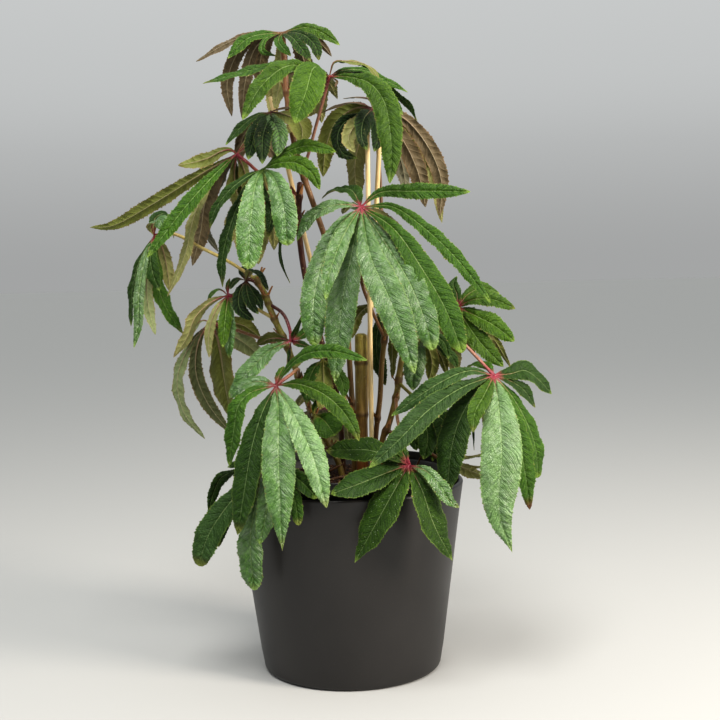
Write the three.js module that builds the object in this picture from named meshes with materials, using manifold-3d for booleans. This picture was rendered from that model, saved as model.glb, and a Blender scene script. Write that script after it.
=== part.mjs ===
// A palm-leaf begonia in a black plastic growing pot that stands inside a tapered charcoal cover pot.
// Millimetres, +Z up. The origin is the centre of the cover pot's underside, and -Y is the front.

import * as THREE from 'three';
import { mergeVertices } from 'three/addons/utils/BufferGeometryUtils.js';
import Module from 'manifold-3d';

const wasm = await Module();
wasm.setup();

// Cover pot
const COVER_HEIGHT = 164;
const COVER_RIM_RADIUS = 100;
const COVER_FOOT_RADIUS = 78;
const COVER_WALL = 4;
const COVER_FLOOR = 5;
const COVER_FOOT_ROUNDING = 5;
const COVER_SIDES = 36;

// Growing pot, which stands on the cover pot's floor
const GROW_RIM_HEIGHT = 177;
const GROW_RIM_RADIUS = 93.5;
const GROW_RIM_BAND = 9;
const GROW_RIM_STEP = 1.6;
const GROW_FOOT_RADIUS = 67;
const GROW_WALL = 1.6;
const GROW_DRAINS = 4;
const GROW_DRAIN_RADIUS = 5;
const GROW_SIDES = 30;

// Soil
const SOIL_EDGE_HEIGHT = 162;
const SOIL_MIDDLE_HEIGHT = 167;
const SOIL_CLEARANCE = 0.4;

// Gap between pieces that touch
const GAP = 0.3;

// Canes and stakes
const CANE_SIDES = 6;
const THICK_CANE_SIDES = 10;
const CANE_STEP = 24;
const NODE_SWELLING = 0.8;
const NODE_LENGTH = 3.5;
const STAKE_SIDES = 6;
const STAKE_RADIUS = 2.1;

// Leaves
const PETIOLE_SIDES = 6;
const PETIOLE_STEP = 14;
const HUB_RADIUS = 3.2;
const STALK_WIDTH = 2.2;
const BLADE_DEPTH = 1.3;
const BLADE_STEP = 20;
const MOST_BLADE_STEPS = 5;
const SWELL_POWER = 1.1;
const TAPER_POWER = 0.8;

// The front view's eye point. A plant point is written [x, z, near]: where it is seen from there on
// the upright plane through the pot's axis, and how far in front of that plane it really lies.
const EYE_BACK = 1044;
const EYE_HEIGHT = 345.5;

function placed([x, z, near]) {
  const shrink = (EYE_BACK - near) / EYE_BACK;
  return new THREE.Vector3(x * shrink, -near, EYE_HEIGHT + (z - EYE_HEIGHT) * shrink);
}

// One leaflet: its greatest width, how far its top is turned from its natural tilt towards the front
// (degrees), and the points its midrib passes through after the hub.
function blade(width, turn, ...through) {
  return { width, turn, through };
}

const leaves = [
  {
    name: 'leaf_crown',
    hub: [-48, 551, 0],
    petiole: [[-47.5, 547.5, 0]],
    blades: [
      blade(9, 60, [-67, 551, -7], [-84, 547, -14], [-98.5, 541, -17], [-122, 528, -22]),
      blade(13, 45, [-76, 547, 10], [-95, 530, 18]),
      blade(12, -50, [-81, 541, -22], [-96, 510, -34], [-93, 481, -38]),
      blade(11, -45, [-70, 540, -18], [-81, 508, -30], [-84, 478, -32]),
      blade(6, 0, [-63, 545, 10], [-65, 536, 16], [-53, 531, 14]),
      blade(8, 20, [-51, 543, 14], [-41, 531, 22]),
      blade(12, 55, [-38.5, 553, 3], [-27, 554.5, 6], [-14, 550, 10], [1, 539.5, 12]),
      blade(13, 30, [-31, 549, 14], [-20, 539, 24], [-17, 527, 28]),
      blade(12, 20, [-39, 546, 18], [-31, 536, 28], [-24, 526, 32]),
      blade(8, -40, [-24, 548, -16], [-14, 540, -24], [-6, 530, -28]),
      blade(14, -40, [-49, 535, -10], [-51, 510, -16], [-56, 487, -16]),
      blade(15, -20, [-37, 544, -12], [-29, 524, -18], [-27, 498, -22]),
      blade(14, -20, [-62, 543, -26], [-68, 522, -42], [-66, 500, -48]),
    ],
  },
  {
    name: 'leaf_shoulder',
    hub: [-8.5, 513, 22],
    petiole: [[-14, 494, 20], [-22, 468, 14], [-28, 448, 8]],
    joins: ['cane_tall', 433],
    blades: [
      blade(13, 35, [-36, 523.5, 32], [-63.5, 522, 40], [-88, 516.5, 46], [-117, 509.5, 50]),
      blade(17, 50, [-42, 523, 46], [-67, 506, 60], [-84, 478, 66]),
      blade(27, 35, [-21, 521, 44], [-29, 500, 62], [-39, 474, 68]),
      blade(11, 20, [-3.5, 525, 25], [5, 525.5, 27], [22.5, 522.5, 30], [30.5, 515, 31], [35, 503.5, 32]),
      blade(10, 50, [1, 517.5, 18], [21, 517.5, 13], [39, 509, 12], [58.5, 498.5, 8]),
      blade(9, -35, [8, 515, 10], [24, 510, 4], [35, 502, 0]),
      blade(21, 50, [6.5, 512.5, 35], [26, 506.5, 51], [38, 491, 62], [42.5, 468, 70], [43.5, 444, 75], [41.5, 421, 76]),
      blade(14, 40, [20, 512, 30], [40, 497, 38], [54, 479, 42]),
      blade(12, -20, [30, 506, 16], [57, 490, 14], [66, 474, 12]),
      blade(3, 0, [-2, 509, 26], [-4, 504, 28]),
      blade(10, -50, [-14, 500, 8], [-21, 488, 2], [-29, 479, -2]),
    ],
  },
  {
    name: 'leaf_top_right',
    hub: [28, 485.5, -4],
    petiole: [[30, 468, -14], [33, 430, -22], [34, 395, -17], [34, 374.6, -14]],
    blades: [
      blade(15, -65, [54, 477, -16], [76, 450, -24], [86, 422, -30], [84, 392, -32]),
      blade(13, -60, [56, 470, -30], [78, 432, -42], [86, 386, -48]),
      blade(17, -60, [50, 463, -14], [65, 433, -22], [72, 400, -26]),
      blade(15, -60, [42, 465, -24], [52, 438, -36], [56, 408, -42]),
      blade(6, 20, [16, 490, 4], [2, 489.5, 8], [-17, 482, 10]),
      blade(6, 10, [25, 493, -8], [16, 495, -12], [3, 494, -16]),
      blade(19, -70, [14, 486, -20], [-4, 474, -30], [-13, 452, -36], [-16, 428, -36]),
      blade(12, 60, [18.5, 480, 4], [2, 472.5, 12], [-3, 459, 14], [1.5, 448, 13], [14, 443, 10]),
      blade(14, 50, [20.5, 478, 10], [10.5, 468.5, 22], [6.5, 459, 26], [12, 448, 26]),
      blade(15, 40, [19.5, 474.5, 22], [18, 461, 30], [22.5, 450, 30]),
      blade(14, 30, [30.5, 472, 14], [31.5, 458.5, 21], [28.5, 448.5, 22]),
      blade(20, -65, [19, 465, -20], [12, 438, -28], [14, 404, -30]),
    ],
  },
  {
    name: 'leaf_upper_left',
    hub: [-60, 484, 12],
    petiole: [[-53, 480, 8]],
    joins: ['cane_tall', 473],
    blades: [
      blade(10, 30, [-72, 481, 22], [-86, 471, 30], [-99, 457, 34]),
      blade(13, -30, [-71, 477, 6], [-84, 463, 2], [-88, 440, 0]),
      blade(15, 30, [-68, 475, 28], [-75, 461, 40], [-80, 444, 44]),
      blade(15, 10, [-63, 475, 32], [-67, 462, 44], [-68, 440, 46]),
      blade(16, 10, [-57, 475, 32], [-53, 463, 40], [-55, 446, 42]),
      blade(8, 20, [-50, 487, 14], [-38, 487, 12], [-26, 480, 8]),
      blade(20, 30, [-49, 481.5, 22], [-35.5, 475, 31], [-33, 466.5, 33], [-34.5, 454.5, 34]),
    ],
  },
  {
    name: 'leaf_left_long',
    hub: [-90, 449, 12],
    petiole: [[-80, 441, 8], [-70.5, 432.5, 2], [-52, 424, -8]],
    joins: ['cane_dark', 412],
    blades: [
      blade(12, 70, [-94.5, 452.5, 13], [-102.5, 451.5, 15], [-114, 446, 18], [-127, 442.5, 19], [-140.5, 440.5, 20]),
      blade(13, -65, [-122, 432, -8], [-165, 407, -24], [-199, 390, -34], [-218, 389, -38]),
      blade(13.5, 65, [-108, 433, 26], [-135, 405, 38], [-170, 362, 46]),
      blade(18, -60, [-106, 434, -12], [-118, 408, -24], [-123, 382, -30], [-131, 354, -32]),
      blade(15, -60, [-101.5, 435.5, -15], [-111.5, 418.5, -29], [-121, 399, -38], [-117.5, 381.5, -41], [-108, 365.5, -44]),
      blade(9, 60, [-80, 460, 12], [-60, 467, 10], [-27, 471, 4]),
      blade(20, -60, [-92.5, 437, 0], [-92.5, 424, -9], [-89, 408, -16], [-84.5, 394, -20]),
      blade(16, -60, [-84, 434, -10], [-81, 416, -22], [-83, 392, -26]),
      blade(11, 50, [-112, 427, 12], [-128, 396, 20], [-137, 363, 24], [-153.5, 328, 24]),
      blade(16, -60, [-77, 458, 4], [-63, 455, -2], [-52, 443, -6]),
    ],
  },
  {
    name: 'leaf_left_glossy',
    hub: [-67, 436, 30],
    petiole: [[-66, 424, 24], [-56, 404, 6]],
    joins: ['cane_dark', 386],
    blades: [
      blade(13, 60, [-52, 447, 38], [-30, 454.5, 46], [-4, 449, 50]),
      blade(14, 60, [-53, 440.5, 44], [-38.5, 440, 52], [-25.5, 431, 57], [-19, 417, 58]),
      blade(21, 40, [-58, 427, 50], [-51, 405, 62], [-48, 369.5, 66]),
      blade(23, 30, [-74, 424, 50], [-79, 394, 64], [-83, 350, 68]),
      blade(10, 50, [-82, 429, 38], [-98, 417, 42], [-110, 401, 42], [-115, 386, 40]),
      blade(13, -30, [-64, 424, 10], [-61, 402, 2], [-65, 377, 0]),
      blade(8, 10, [-78, 422, 24], [-89, 394, 24], [-87, 371, 22]),
      blade(14, 50, [-84, 416, 30], [-97, 388, 32], [-105, 358, 32], [-105.5, 335, 30]),
      blade(5, 0, [-60, 420, 22], [-54.5, 390, 18], [-54, 356, 16], [-47, 337, 14]),
    ],
  },
  {
    name: 'leaf_centre',
    hub: [16, 401.5, 36],
    petiole: [[15, 370, 24], [15, 338, 8], [22, 316, -2]],
    joins: ['cane_right_back', 287],
    blades: [
      blade(13.5, 80, [32, 413, 38], [60, 414, 40], [111, 412.5, 40]),
      blade(14, 60, [43, 401, 46], [70.5, 382, 53], [97.5, 355.5, 59], [127.5, 316, 60]),
      blade(23, 55, [44, 382, 58], [68, 347, 70], [87, 313, 76], [102, 273, 76]),
      blade(24, 45, [52, 344.5, 71], [62, 323.5, 77], [70.5, 299, 82], [76, 276, 82]),
      blade(27, 35, [24, 357, 70], [36, 329, 84], [47, 301, 92], [60, 255.5, 94]),
      blade(25, 30, [8, 365, 52], [-1, 325, 64], [-6, 290, 70], [-10, 250, 70]),
      blade(15, 45, [2, 380, 60], [-8.5, 356.5, 77], [-14, 339, 84], [-16.5, 322, 88]),
      blade(22, 50, [-5, 384, 46], [-20, 350, 58], [-27, 318, 64], [-27, 282, 64]),
      blade(14, 55, [6.5, 403.5, 35], [-9, 403, 34], [-23, 397, 34], [-33.5, 386, 32], [-40, 373.5, 30]),
      blade(18, 20, [13.5, 407.5, 29], [8, 416, 17], [-1, 417, 9], [-10.5, 414.5, 6], [-17.5, 409.5, 4]),
      blade(15, -30, [28, 397, 26], [44, 380, 4], [58, 350, -12]),
      blade(15, -30, [6, 380, 8], [2, 354.5, -10], [-5.5, 330, -20], [-12.5, 321.5, -24]),
    ],
  },
  {
    name: 'leaf_far_left',
    hub: [-163, 380.5, 6],
    petiole: [[-147, 382, 6], [-122, 369, 6], [-98, 356, 6]],
    joins: ['cane_left', 341],
    blades: [
      blade(13, 30, [-162, 395, 2], [-152, 399, -4], [-146, 378, -8]),
      blade(14, 30, [-165, 390, 12], [-158, 394, 18], [-155, 384, 22]),
      blade(12, -50, [-157, 371, -4], [-153, 352, -10], [-151, 332, -12]),
      blade(16, 50, [-162.5, 359, 3], [-162, 340, 2], [-156, 320.5, 2], [-147, 304, 2], [-141, 295.5, 2]),
      blade(13, 20, [-167, 364, 20], [-165, 347, 24], [-160, 333, 24]),
      blade(12, 45, [-170, 352, 14], [-171, 325, 14], [-165, 295, 12]),
      blade(9, 50, [-172, 360, 24], [-178, 330, 26], [-179.5, 305, 26], [-184, 284, 24]),
      blade(12, 45, [-175, 362, 10], [-183, 338, 8], [-186, 303, 4]),
    ],
  },
  {
    name: 'leaf_left_drooping',
    hub: [-101, 328, 12],
    petiole: [[-92, 325, 12], [-78, 316.5, 13]],
    joins: ['cane_left', 307],
    blades: [
      blade(12, -55, [-115, 323, 16], [-130, 310, 18], [-138, 292, 18], [-150, 275, 16]),
      blade(7, 20, [-108, 333, 14], [-114, 330, 16], [-119, 324, 16]),
      blade(4, 0, [-101, 335, 10], [-99, 342.5, 8]),
      blade(15, -60, [-94, 324, 0], [-88, 311, -6]),
      blade(11, 30, [-103, 315, 26], [-105, 300, 32], [-107, 282.5, 34]),
      blade(9, 30, [-110, 318, 22], [-118, 298, 26], [-119, 274, 26]),
      blade(11, 20, [-100, 312, 20], [-101, 292, 24], [-101.5, 273, 24]),
    ],
  },
  {
    name: 'leaf_left_lower',
    hub: [-117, 304.5, -6],
    petiole: [[-99, 299, -4], [-72, 289, 0]],
    joins: ['cane_left', 282],
    blades: [
      blade(8, 30, [-124, 306.5, -4], [-133, 296, -8], [-141, 280, -12]),
      blade(13, -60, [-133, 288, -12], [-147, 256, -22], [-142, 226, -28], [-125, 203, -30]),
      blade(13, -60, [-127, 290, -8], [-131, 262, -14], [-122, 235, -16], [-103, 208, -16]),
      blade(29, -75, [-112.5, 292, -15], [-109.5, 276, -21], [-107.5, 258.5, -27], [-104.5, 237.5, -30], [-103.5, 223.5, -32]),
      blade(15, -60, [-105, 304, -18], [-90, 302, -30], [-74, 291, -38]),
      blade(19, -60, [-102, 295, -24], [-88, 286, -42], [-72, 272, -52]),
    ],
  },
  {
    name: 'leaf_left_young',
    hub: [-85, 340.5, 14],
    petiole: [[-82, 341, 12]],
    joins: ['cane_left', 338],
    blades: [
      blade(6, 30, [-92, 341.5, 20], [-97, 337, 22], [-99, 333, 22]),
      blade(11, 20, [-91, 330, 22], [-91, 316, 28], [-79, 305.5, 30]),
      blade(9, 20, [-80, 331, 24], [-75, 323, 28], [-71.5, 314, 30]),
      blade(10, 10, [-84, 328, 28], [-81, 319, 34], [-75, 311, 36]),
      blade(13, -10, [-80, 349, 24], [-72, 343, 30], [-66, 331, 32]),
      blade(9, 10, [-87, 347, 2], [-84, 352, -6], [-77, 353, -10]),
    ],
  },
  {
    name: 'leaf_middle_left',
    hub: [-47, 287, 26],
    petiole: [[-48.5, 298, 24], [-54, 311, 18]],
    joins: ['cane_left', 320],
    blades: [
      blade(17, 55, [-66, 279, 34], [-84, 262, 38], [-103, 239, 38]),
      blade(10, 20, [-43, 296, 34], [-38, 308, 38]),
      blade(9, 30, [-40, 284, 32], [-30, 281, 34]),
      blade(13, -40, [-58, 290, 20], [-68, 289, 16], [-77, 284, 12]),
      blade(11, -20, [-50, 276, 28], [-52, 261, 27]),
      blade(13, 20, [-38, 291, 20], [-28, 300, 14], [-20, 296, 8]),
    ],
  },
  {
    name: 'leaf_front_left',
    hub: [-61.5, 248.5, 66],
    petiole: [[-49, 257, 58], [-42, 262, 40]],
    joins: ['cane_left', 257],
    blades: [
      blade(13, 55, [-50, 264, 76], [-35, 275, 88], [-12, 277, 98], [18.5, 268.5, 104]),
      blade(16, 50, [-42.5, 249, 80], [-21.5, 240.5, 94], [-6, 227, 102], [4, 212, 106], [10, 197.5, 108]),
      blade(21, 35, [-52, 232, 82], [-41, 210, 98], [-31, 185, 110], [-20, 139, 120]),
      blade(27, 10, [-60, 225, 84], [-61, 190, 102], [-61, 150, 112], [-60, 102, 114]),
      blade(23, 35, [-74, 225, 78], [-84, 195, 86], [-92, 155, 90], [-99, 117, 88]),
      blade(17, 45, [-84.5, 242, 73], [-95, 231, 78], [-99, 212, 78], [-102.5, 192.5, 76], [-104.5, 178.5, 74]),
      blade(14, 45, [-76, 252, 62], [-90, 249, 60], [-103, 238, 56]),
      blade(7, 20, [-59, 256, 62], [-54, 265, 56]),
    ],
  },
  {
    name: 'leaf_pot_edge',
    hub: [-76, 173, 62],
    petiole: [[-62, 184, 46], [-40, 191, 28]],
    joins: ['cane_left', 195],
    blades: [
      blade(23, 80, [-94, 157, 59], [-110, 139.5, 58], [-125, 116.5, 57], [-134, 90, 54]),
      blade(12, -30, [-97, 160, 48], [-108, 134, 42], [-116, 106.5, 36]),
      blade(12, -30, [-94, 175, 50], [-112, 168, 40], [-120, 152, 34], [-124, 139, 32]),
      blade(10, 30, [-90, 181, 62], [-106, 177.5, 62]),
      blade(22, 20, [-81, 150, 74], [-88, 112, 76], [-86, 67, 72]),
      blade(16, 10, [-72, 155, 82], [-74, 132, 86], [-80, 108, 86]),
      blade(12, 20, [-62, 168, 84], [-49, 150, 101], [-45, 124, 103]),
      blade(14, 40, [-58, 174, 82], [-44, 165, 95], [-28, 148, 108]),
    ],
  },
  {
    name: 'leaf_right',
    hub: [129, 252.5, 60],
    petiole: [[106, 278, 46], [84, 299, 24]],
    joins: ['cane_right_front', 327],
    blades: [
      blade(14, 50, [108, 257, 70], [83, 248, 80], [38.5, 219, 84]),
      blade(19, 55, [100, 242, 80], [72, 224, 96], [45, 198, 110], [18, 173.5, 116]),
      blade(26, 40, [113, 238, 72], [98, 213, 80], [90, 184, 82], [87, 150, 80]),
      blade(14, 35, [120, 235, 84], [112, 220, 96], [110, 203, 100]),
      blade(11, -40, [126, 236, 52], [123, 222, 44], [120, 208, 40]),
      blade(7, 20, [117, 228, 60], [111, 206, 58], [110.5, 187, 56]),
      blade(33, 20, [133, 225, 84], [135, 186, 96], [132, 132, 100], [143, 95, 98]),
      blade(18, 50, [143, 236, 62], [157, 211, 64], [165, 186, 64], [166.5, 161, 60]),
      blade(20, 45, [139, 231, 74], [149, 200, 78], [155, 168, 76], [159, 133, 72]),
      blade(13, 50, [142, 248, 58], [155, 239, 58], [165, 223.5, 56]),
      blade(21, 50, [131, 253, 59], [143, 253.5, 54], [156.5, 256, 50], [168.5, 247.5, 46], [179.5, 235, 42]),
      blade(12, -50, [120, 248, 44], [109, 241, 36], [99, 235, 32]),
      blade(12, 20, [121, 262, 46], [110, 262, 38], [102, 255, 34]),
    ],
  },
  {
    name: 'leaf_front_low',
    hub: [53, 175.5, 94],
    petiole: [[48.5, 196, 76], [44, 216, 44]],
    joins: ['cane_right_front', 236],
    blades: [
      blade(31, 25, [37, 148, 111], [22, 122, 115], [3.5, 89.5, 113]),
      blade(30, 25, [64, 153, 106], [74, 122, 110], [90, 89, 106]),
      blade(13, 40, [66.5, 170.5, 103], [75, 162.5, 109], [82.5, 152.5, 111], [88.5, 142.5, 111], [97, 136.5, 112]),
      blade(25, 40, [36, 182.5, 88], [19.5, 189, 84], [2.5, 190, 82], [-19.5, 190, 78]),
      blade(24, 45, [34, 169, 101], [10, 160, 106], [-16, 151, 110]),
      blade(9, 10, [48, 186, 88], [44, 195, 82]),
      blade(7, 10, [54, 166, 102], [56, 154, 104]),
      blade(10, 20, [42, 181, 98], [30, 184, 98], [18, 180, 98]),
    ],
  },
  {
    name: 'leaf_right_upper',
    hub: [98, 313, 12],
    petiole: [[90, 318, 8], [78, 322, 2]],
    joins: ['cane_right_front', 330],
    blades: [
      blade(13, 50, [108, 324, 10], [120, 329, 8], [135, 324, 6]),
      blade(14, 55, [112, 319, 22], [128, 319, 26], [148.5, 310.5, 28]),
      blade(18, 55, [114, 305, 26], [130, 296, 32], [147.5, 282, 34]),
      blade(17, 50, [107, 297, 26], [119, 280, 34], [137.5, 260, 36]),
      blade(10, -40, [113, 303, 6], [124, 286, 0], [133, 268, -4]),
      blade(8, -30, [117, 302, -6], [130, 284, -14], [144, 259, -20]),
      blade(9, -20, [98, 324, 2], [95, 333, -4], [98, 340, -8]),
      blade(15, -30, [96, 300, -4], [90, 284, -14], [92, 264, -20]),
    ],
  },
  {
    name: 'leaf_right_inner',
    hub: [66, 290, 30],
    petiole: [[62, 292, 20]],
    joins: ['cane_right_front', 295],
    blades: [
      blade(18, 20, [62, 273, 42], [59, 258, 46], [58, 241, 46]),
      blade(13, -30, [73, 276, 28], [75, 262, 24], [72, 250, 22]),
      blade(12, 20, [80, 281, 44], [92, 270, 48], [98, 258, 48]),
      blade(11, 20, [76, 290, 46], [86, 282, 52], [90, 268, 54]),
      blade(10, -30, [74, 285, 16], [84, 268, 8], [88, 254, 4]),
    ],
  },
  {
    name: 'leaf_centre_inner',
    hub: [33, 312, -26],
    petiole: [[34, 306, -22]],
    joins: ['cane_right_back', 299],
    blades: [
      blade(16, 20, [29, 298, -32], [27, 275, -38], [34, 246, -40]),
      blade(12, 20, [39, 298, -30], [41, 275, -36], [40, 252, -38]),
      blade(13, -20, [22, 316, -40], [10, 306, -56], [6, 288, -62]),
      blade(12, -30, [42, 310, -42], [52, 296, -56], [54, 278, -62]),
      blade(12, -20, [33, 312, -50], [32, 296, -72], [32, 272, -80]),
    ],
  },
  {
    name: 'leaf_left_inner',
    hub: [-20, 270, 24],
    petiole: [[-26, 262, 20]],
    joins: ['cane_left', 251],
    blades: [
      blade(14, 20, [-28, 262, 32], [-34, 248, 36], [-35, 232, 36]),
      blade(15, 20, [-20, 256, 36], [-20, 240, 40], [-24, 226, 40]),
      blade(14, 20, [-10, 262, 32], [-4, 250, 36], [-2, 236, 36]),
      blade(12, 20, [-30, 274, 30], [-38, 272, 32], [-45, 264, 32]),
      blade(11, -10, [-12, 280, 18], [-6, 284, 10], [0, 280, 4]),
      blade(12, -20, [-20, 262, 4], [-18, 248, -4], [-18, 232, -6]),
    ],
  },
  {
    name: 'leaf_low_round',
    hub: [-29, 222, 26],
    petiole: [[-30, 222, 23]],
    joins: ['cane_left', 223],
    blades: [
      blade(25, 40, [-20, 216, 36], [-11, 203, 42]),
      blade(14, 20, [-27, 232, 32], [-21, 238, 34]),
      blade(8, 10, [-25, 211, 30], [-22, 203, 32]),
    ],
  },
  {
    name: 'leaf_right_shaded',
    hub: [66, 228, 34],
    petiole: [[58, 236, 26]],
    joins: ['cane_right_front', 249],
    blades: [
      blade(21, 30, [76, 222, 42], [86, 210, 48], [82, 190, 50]),
      blade(18, 20, [68, 214, 44], [70, 198, 50], [66, 180, 52]),
      blade(14, 20, [60, 216, 40], [58, 203, 44], [60, 188, 46]),
      blade(12, -20, [78, 234, 26], [90, 234, 20], [98, 224, 16]),
      blade(14, -20, [72, 218, 14], [76, 200, 2], [74, 178, -6]),
    ],
  },
  {
    name: 'leaf_rim_right',
    hub: [80, 180, 30],
    petiole: [[68, 188, 26], [52, 198, 20]],
    joins: ['cane_right_front', 208],
    blades: [
      blade(9, 10, [96, 181, 32], [112, 182, 32], [126, 184, 32]),
      blade(8, 10, [95, 173, 42], [112, 172.5, 44], [126, 172, 44]),
      blade(13, 30, [95, 174, 44], [110, 167, 54], [126, 162, 54]),
      blade(11, -10, [90, 184, 20], [98, 190, 12], [104, 192, 8]),
    ],
  },
  {
    name: 'leaf_back_crown',
    hub: [-34, 518, -30],
    petiole: [[-38, 512, -20]],
    joins: ['cane_tall', 500],
    blades: [
      blade(16, 0, [-46, 514, -50], [-56, 498, -74], [-58, 476, -84]),
      blade(17, 0, [-37, 515, -58], [-38, 496, -86], [-38, 470, -98]),
      blade(16, 0, [-26, 515, -56], [-18, 497, -82], [-16, 474, -94]),
      blade(13, 0, [-24, 520, -42], [-10, 510, -60], [-2, 494, -70]),
      blade(12, 0, [-44, 524, -44], [-56, 522, -62], [-64, 508, -74]),
    ],
  },
  {
    name: 'leaf_back_upper',
    hub: [18, 392, -62],
    petiole: [[24, 384, -44]],
    joins: ['cane_right_back', 366],
    blades: [
      blade(19, 0, [2, 388, -84], [-12, 368, -106], [-18, 338, -116]),
      blade(21, 0, [10, 388, -92], [2, 364, -122], [-2, 328, -134]),
      blade(22, 0, [20, 388, -96], [22, 362, -130], [23, 322, -142]),
      blade(21, 0, [30, 388, -92], [42, 364, -122], [48, 330, -134]),
      blade(18, 0, [36, 388, -80], [54, 372, -100], [64, 348, -110]),
      blade(13, 0, [12, 400, -76], [6, 404, -94], [0, 396, -108]),
      blade(13, 0, [30, 400, -76], [40, 402, -92], [50, 394, -104]),
    ],
  },
  {
    name: 'leaf_back_left',
    hub: [-74, 412, -44],
    petiole: [[-62, 404, -34]],
    joins: ['cane_dark', 393],
    blades: [
      blade(18, 0, [-86, 406, -62], [-94, 392, -84], [-98, 372, -94]),
      blade(20, 0, [-80, 406, -72], [-86, 388, -102], [-88, 358, -114]),
      blade(20, 0, [-72, 406, -74], [-72, 386, -106], [-74, 354, -120]),
      blade(17, 0, [-66, 408, -70], [-60, 392, -96], [-60, 366, -108]),
      blade(13, 0, [-80, 420, -56], [-86, 426, -72], [-90, 418, -88]),
      blade(13, 0, [-64, 418, -58], [-56, 420, -74], [-50, 412, -88]),
    ],
  },
  {
    name: 'leaf_back_right',
    hub: [80, 300, -34],
    petiole: [[74, 306, -24]],
    joins: ['cane_right_front', 316],
    blades: [
      blade(18, 0, [68, 296, -52], [60, 280, -70], [62, 262, -80]),
      blade(20, 0, [76, 295, -62], [74, 274, -90], [76, 250, -104]),
      blade(20, 0, [86, 296, -62], [92, 276, -90], [96, 252, -104]),
      blade(17, 0, [94, 300, -50], [106, 288, -66], [112, 272, -76]),
      blade(13, 0, [90, 308, -46], [98, 312, -62], [104, 304, -76]),
      blade(12, 0, [74, 310, -50], [70, 314, -66], [64, 306, -80]),
    ],
  },
  {
    name: 'leaf_back_low',
    hub: [-24, 228, -50],
    petiole: [[-16, 226, -40]],
    joins: ['cane_dark', 219],
    blades: [
      blade(18, 0, [-38, 222, -66], [-50, 204, -80], [-56, 180, -88]),
      blade(20, 0, [-30, 222, -80], [-36, 202, -108], [-40, 174, -120]),
      blade(20, 0, [-20, 223, -84], [-16, 204, -114], [-14, 176, -128]),
      blade(16, 0, [-12, 226, -72], [-2, 214, -96], [2, 192, -112]),
      blade(12, 0, [-30, 236, -62], [-38, 238, -80], [-44, 228, -94]),
    ],
  },
];

const canes = [
  {
    name: 'cane_main',
    radius: 5.3,
    through: [[12.5, 150, 5], [12.5, 222, 5], [13.6, 292, 5]],
    nodes: [0.5],
    colour: '#7a6a3a',
  },
  {
    name: 'cane_tall',
    radius: 2.5,
    through: [
      [4, 150, -8], [6, 200, -10], [4, 245, -12], [1, 300, -12], [-8, 350, -8],
      [-24, 402, -4], [-34, 433, 0], [-41, 462, 0], [-45, 495, 0], [-47.5, 547, 0],
    ],
    colour: '#8a6a45',
  },
  {
    name: 'cane_dark',
    radius: 2.6,
    through: [[-4, 150, -20], [-8, 235, -20], [-22, 290, -18], [-34, 345, -14], [-38, 388, -12], [-36, 424, -12]],
    colour: '#4a2018',
  },
  {
    name: 'cane_left',
    radius: 2.7,
    through: [
      [-2, 150, 12], [-9, 180, 14], [-16, 194, 15], [-30, 222, 16], [-37, 241, 16],
      [-52, 285, 14], [-62, 308, 13], [-70, 330, 10], [-78, 344, 8],
    ],
    colour: '#7d7a34',
  },
  {
    name: 'cane_right_back',
    radius: 2.3,
    through: [[21, 150, -10], [25, 205, -10], [29, 235, -10], [31, 262, -10], [35, 300, -12], [34, 374, -14]],
    colour: '#5a4a20',
  },
  {
    name: 'cane_right_front',
    radius: 2.6,
    through: [[26, 150, 10], [31, 200, 10], [36, 211, 10], [44, 240, 9], [48, 265, 8], [57, 300, 2], [65, 334, -5]],
    colour: '#66701f',
  },
];

const stakes = [
  { name: 'stake_centre', foot: [20, 70, 12], top: [23, 470, 12] },
  { name: 'stake_right', foot: [5, 70, -17], top: [34.5, 471, -12] },
  { name: 'stake_left', foot: [30, 90, -25], top: [-59.5, 497, -25] },
];

// A closed three.js mesh as a solid that can be joined and cut
function solid(geometry) {
  const bare = geometry.index ? geometry.toNonIndexed() : geometry.clone();
  bare.deleteAttribute('normal');
  bare.deleteAttribute('uv');
  const merged = mergeVertices(bare, 1e-4);
  const index = merged.index.array;
  const faces = [];
  for (let i = 0; i < index.length; i += 3) {
    const [a, b, c] = [index[i], index[i + 1], index[i + 2]];
    if (a !== b && b !== c && c !== a) faces.push(a, b, c);
  }
  return new wasm.Manifold(new wasm.Mesh({
    numProp: 3,
    vertProperties: new Float32Array(merged.attributes.position.array),
    triVerts: new Uint32Array(faces),
  }));
}

// A solid as a geometry with flat shaded faces
function geometryOf(body) {
  const mesh = body.getMesh();
  const geometry = new THREE.BufferGeometry();
  geometry.setAttribute('position', new THREE.BufferAttribute(mesh.vertProperties, 3));
  geometry.setIndex(new THREE.BufferAttribute(mesh.triVerts, 1));
  const flat = geometry.toNonIndexed();
  flat.computeVertexNormals();
  return flat;
}

function joined(bodies) {
  return bodies.reduce((whole, body) => whole.add(body));
}

function polygon(radius, sides) {
  const shape = new THREE.Shape();
  for (let i = 0; i < sides; i++) {
    const angle = (i / sides) * 2 * Math.PI;
    const [x, y] = [radius * Math.cos(angle), radius * Math.sin(angle)];
    if (i === 0) shape.moveTo(x, y);
    else shape.lineTo(x, y);
  }
  shape.closePath();
  return shape;
}

function tube(points, radius, sides, stepLength) {
  const curve = new THREE.CatmullRomCurve3(points, false, 'centripetal');
  const steps = Math.max(1, Math.round(curve.getLength() / stepLength));
  const settings = { steps, extrudePath: curve, bevelEnabled: false };
  return solid(new THREE.ExtrudeGeometry(polygon(radius, sides), settings));
}

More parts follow.
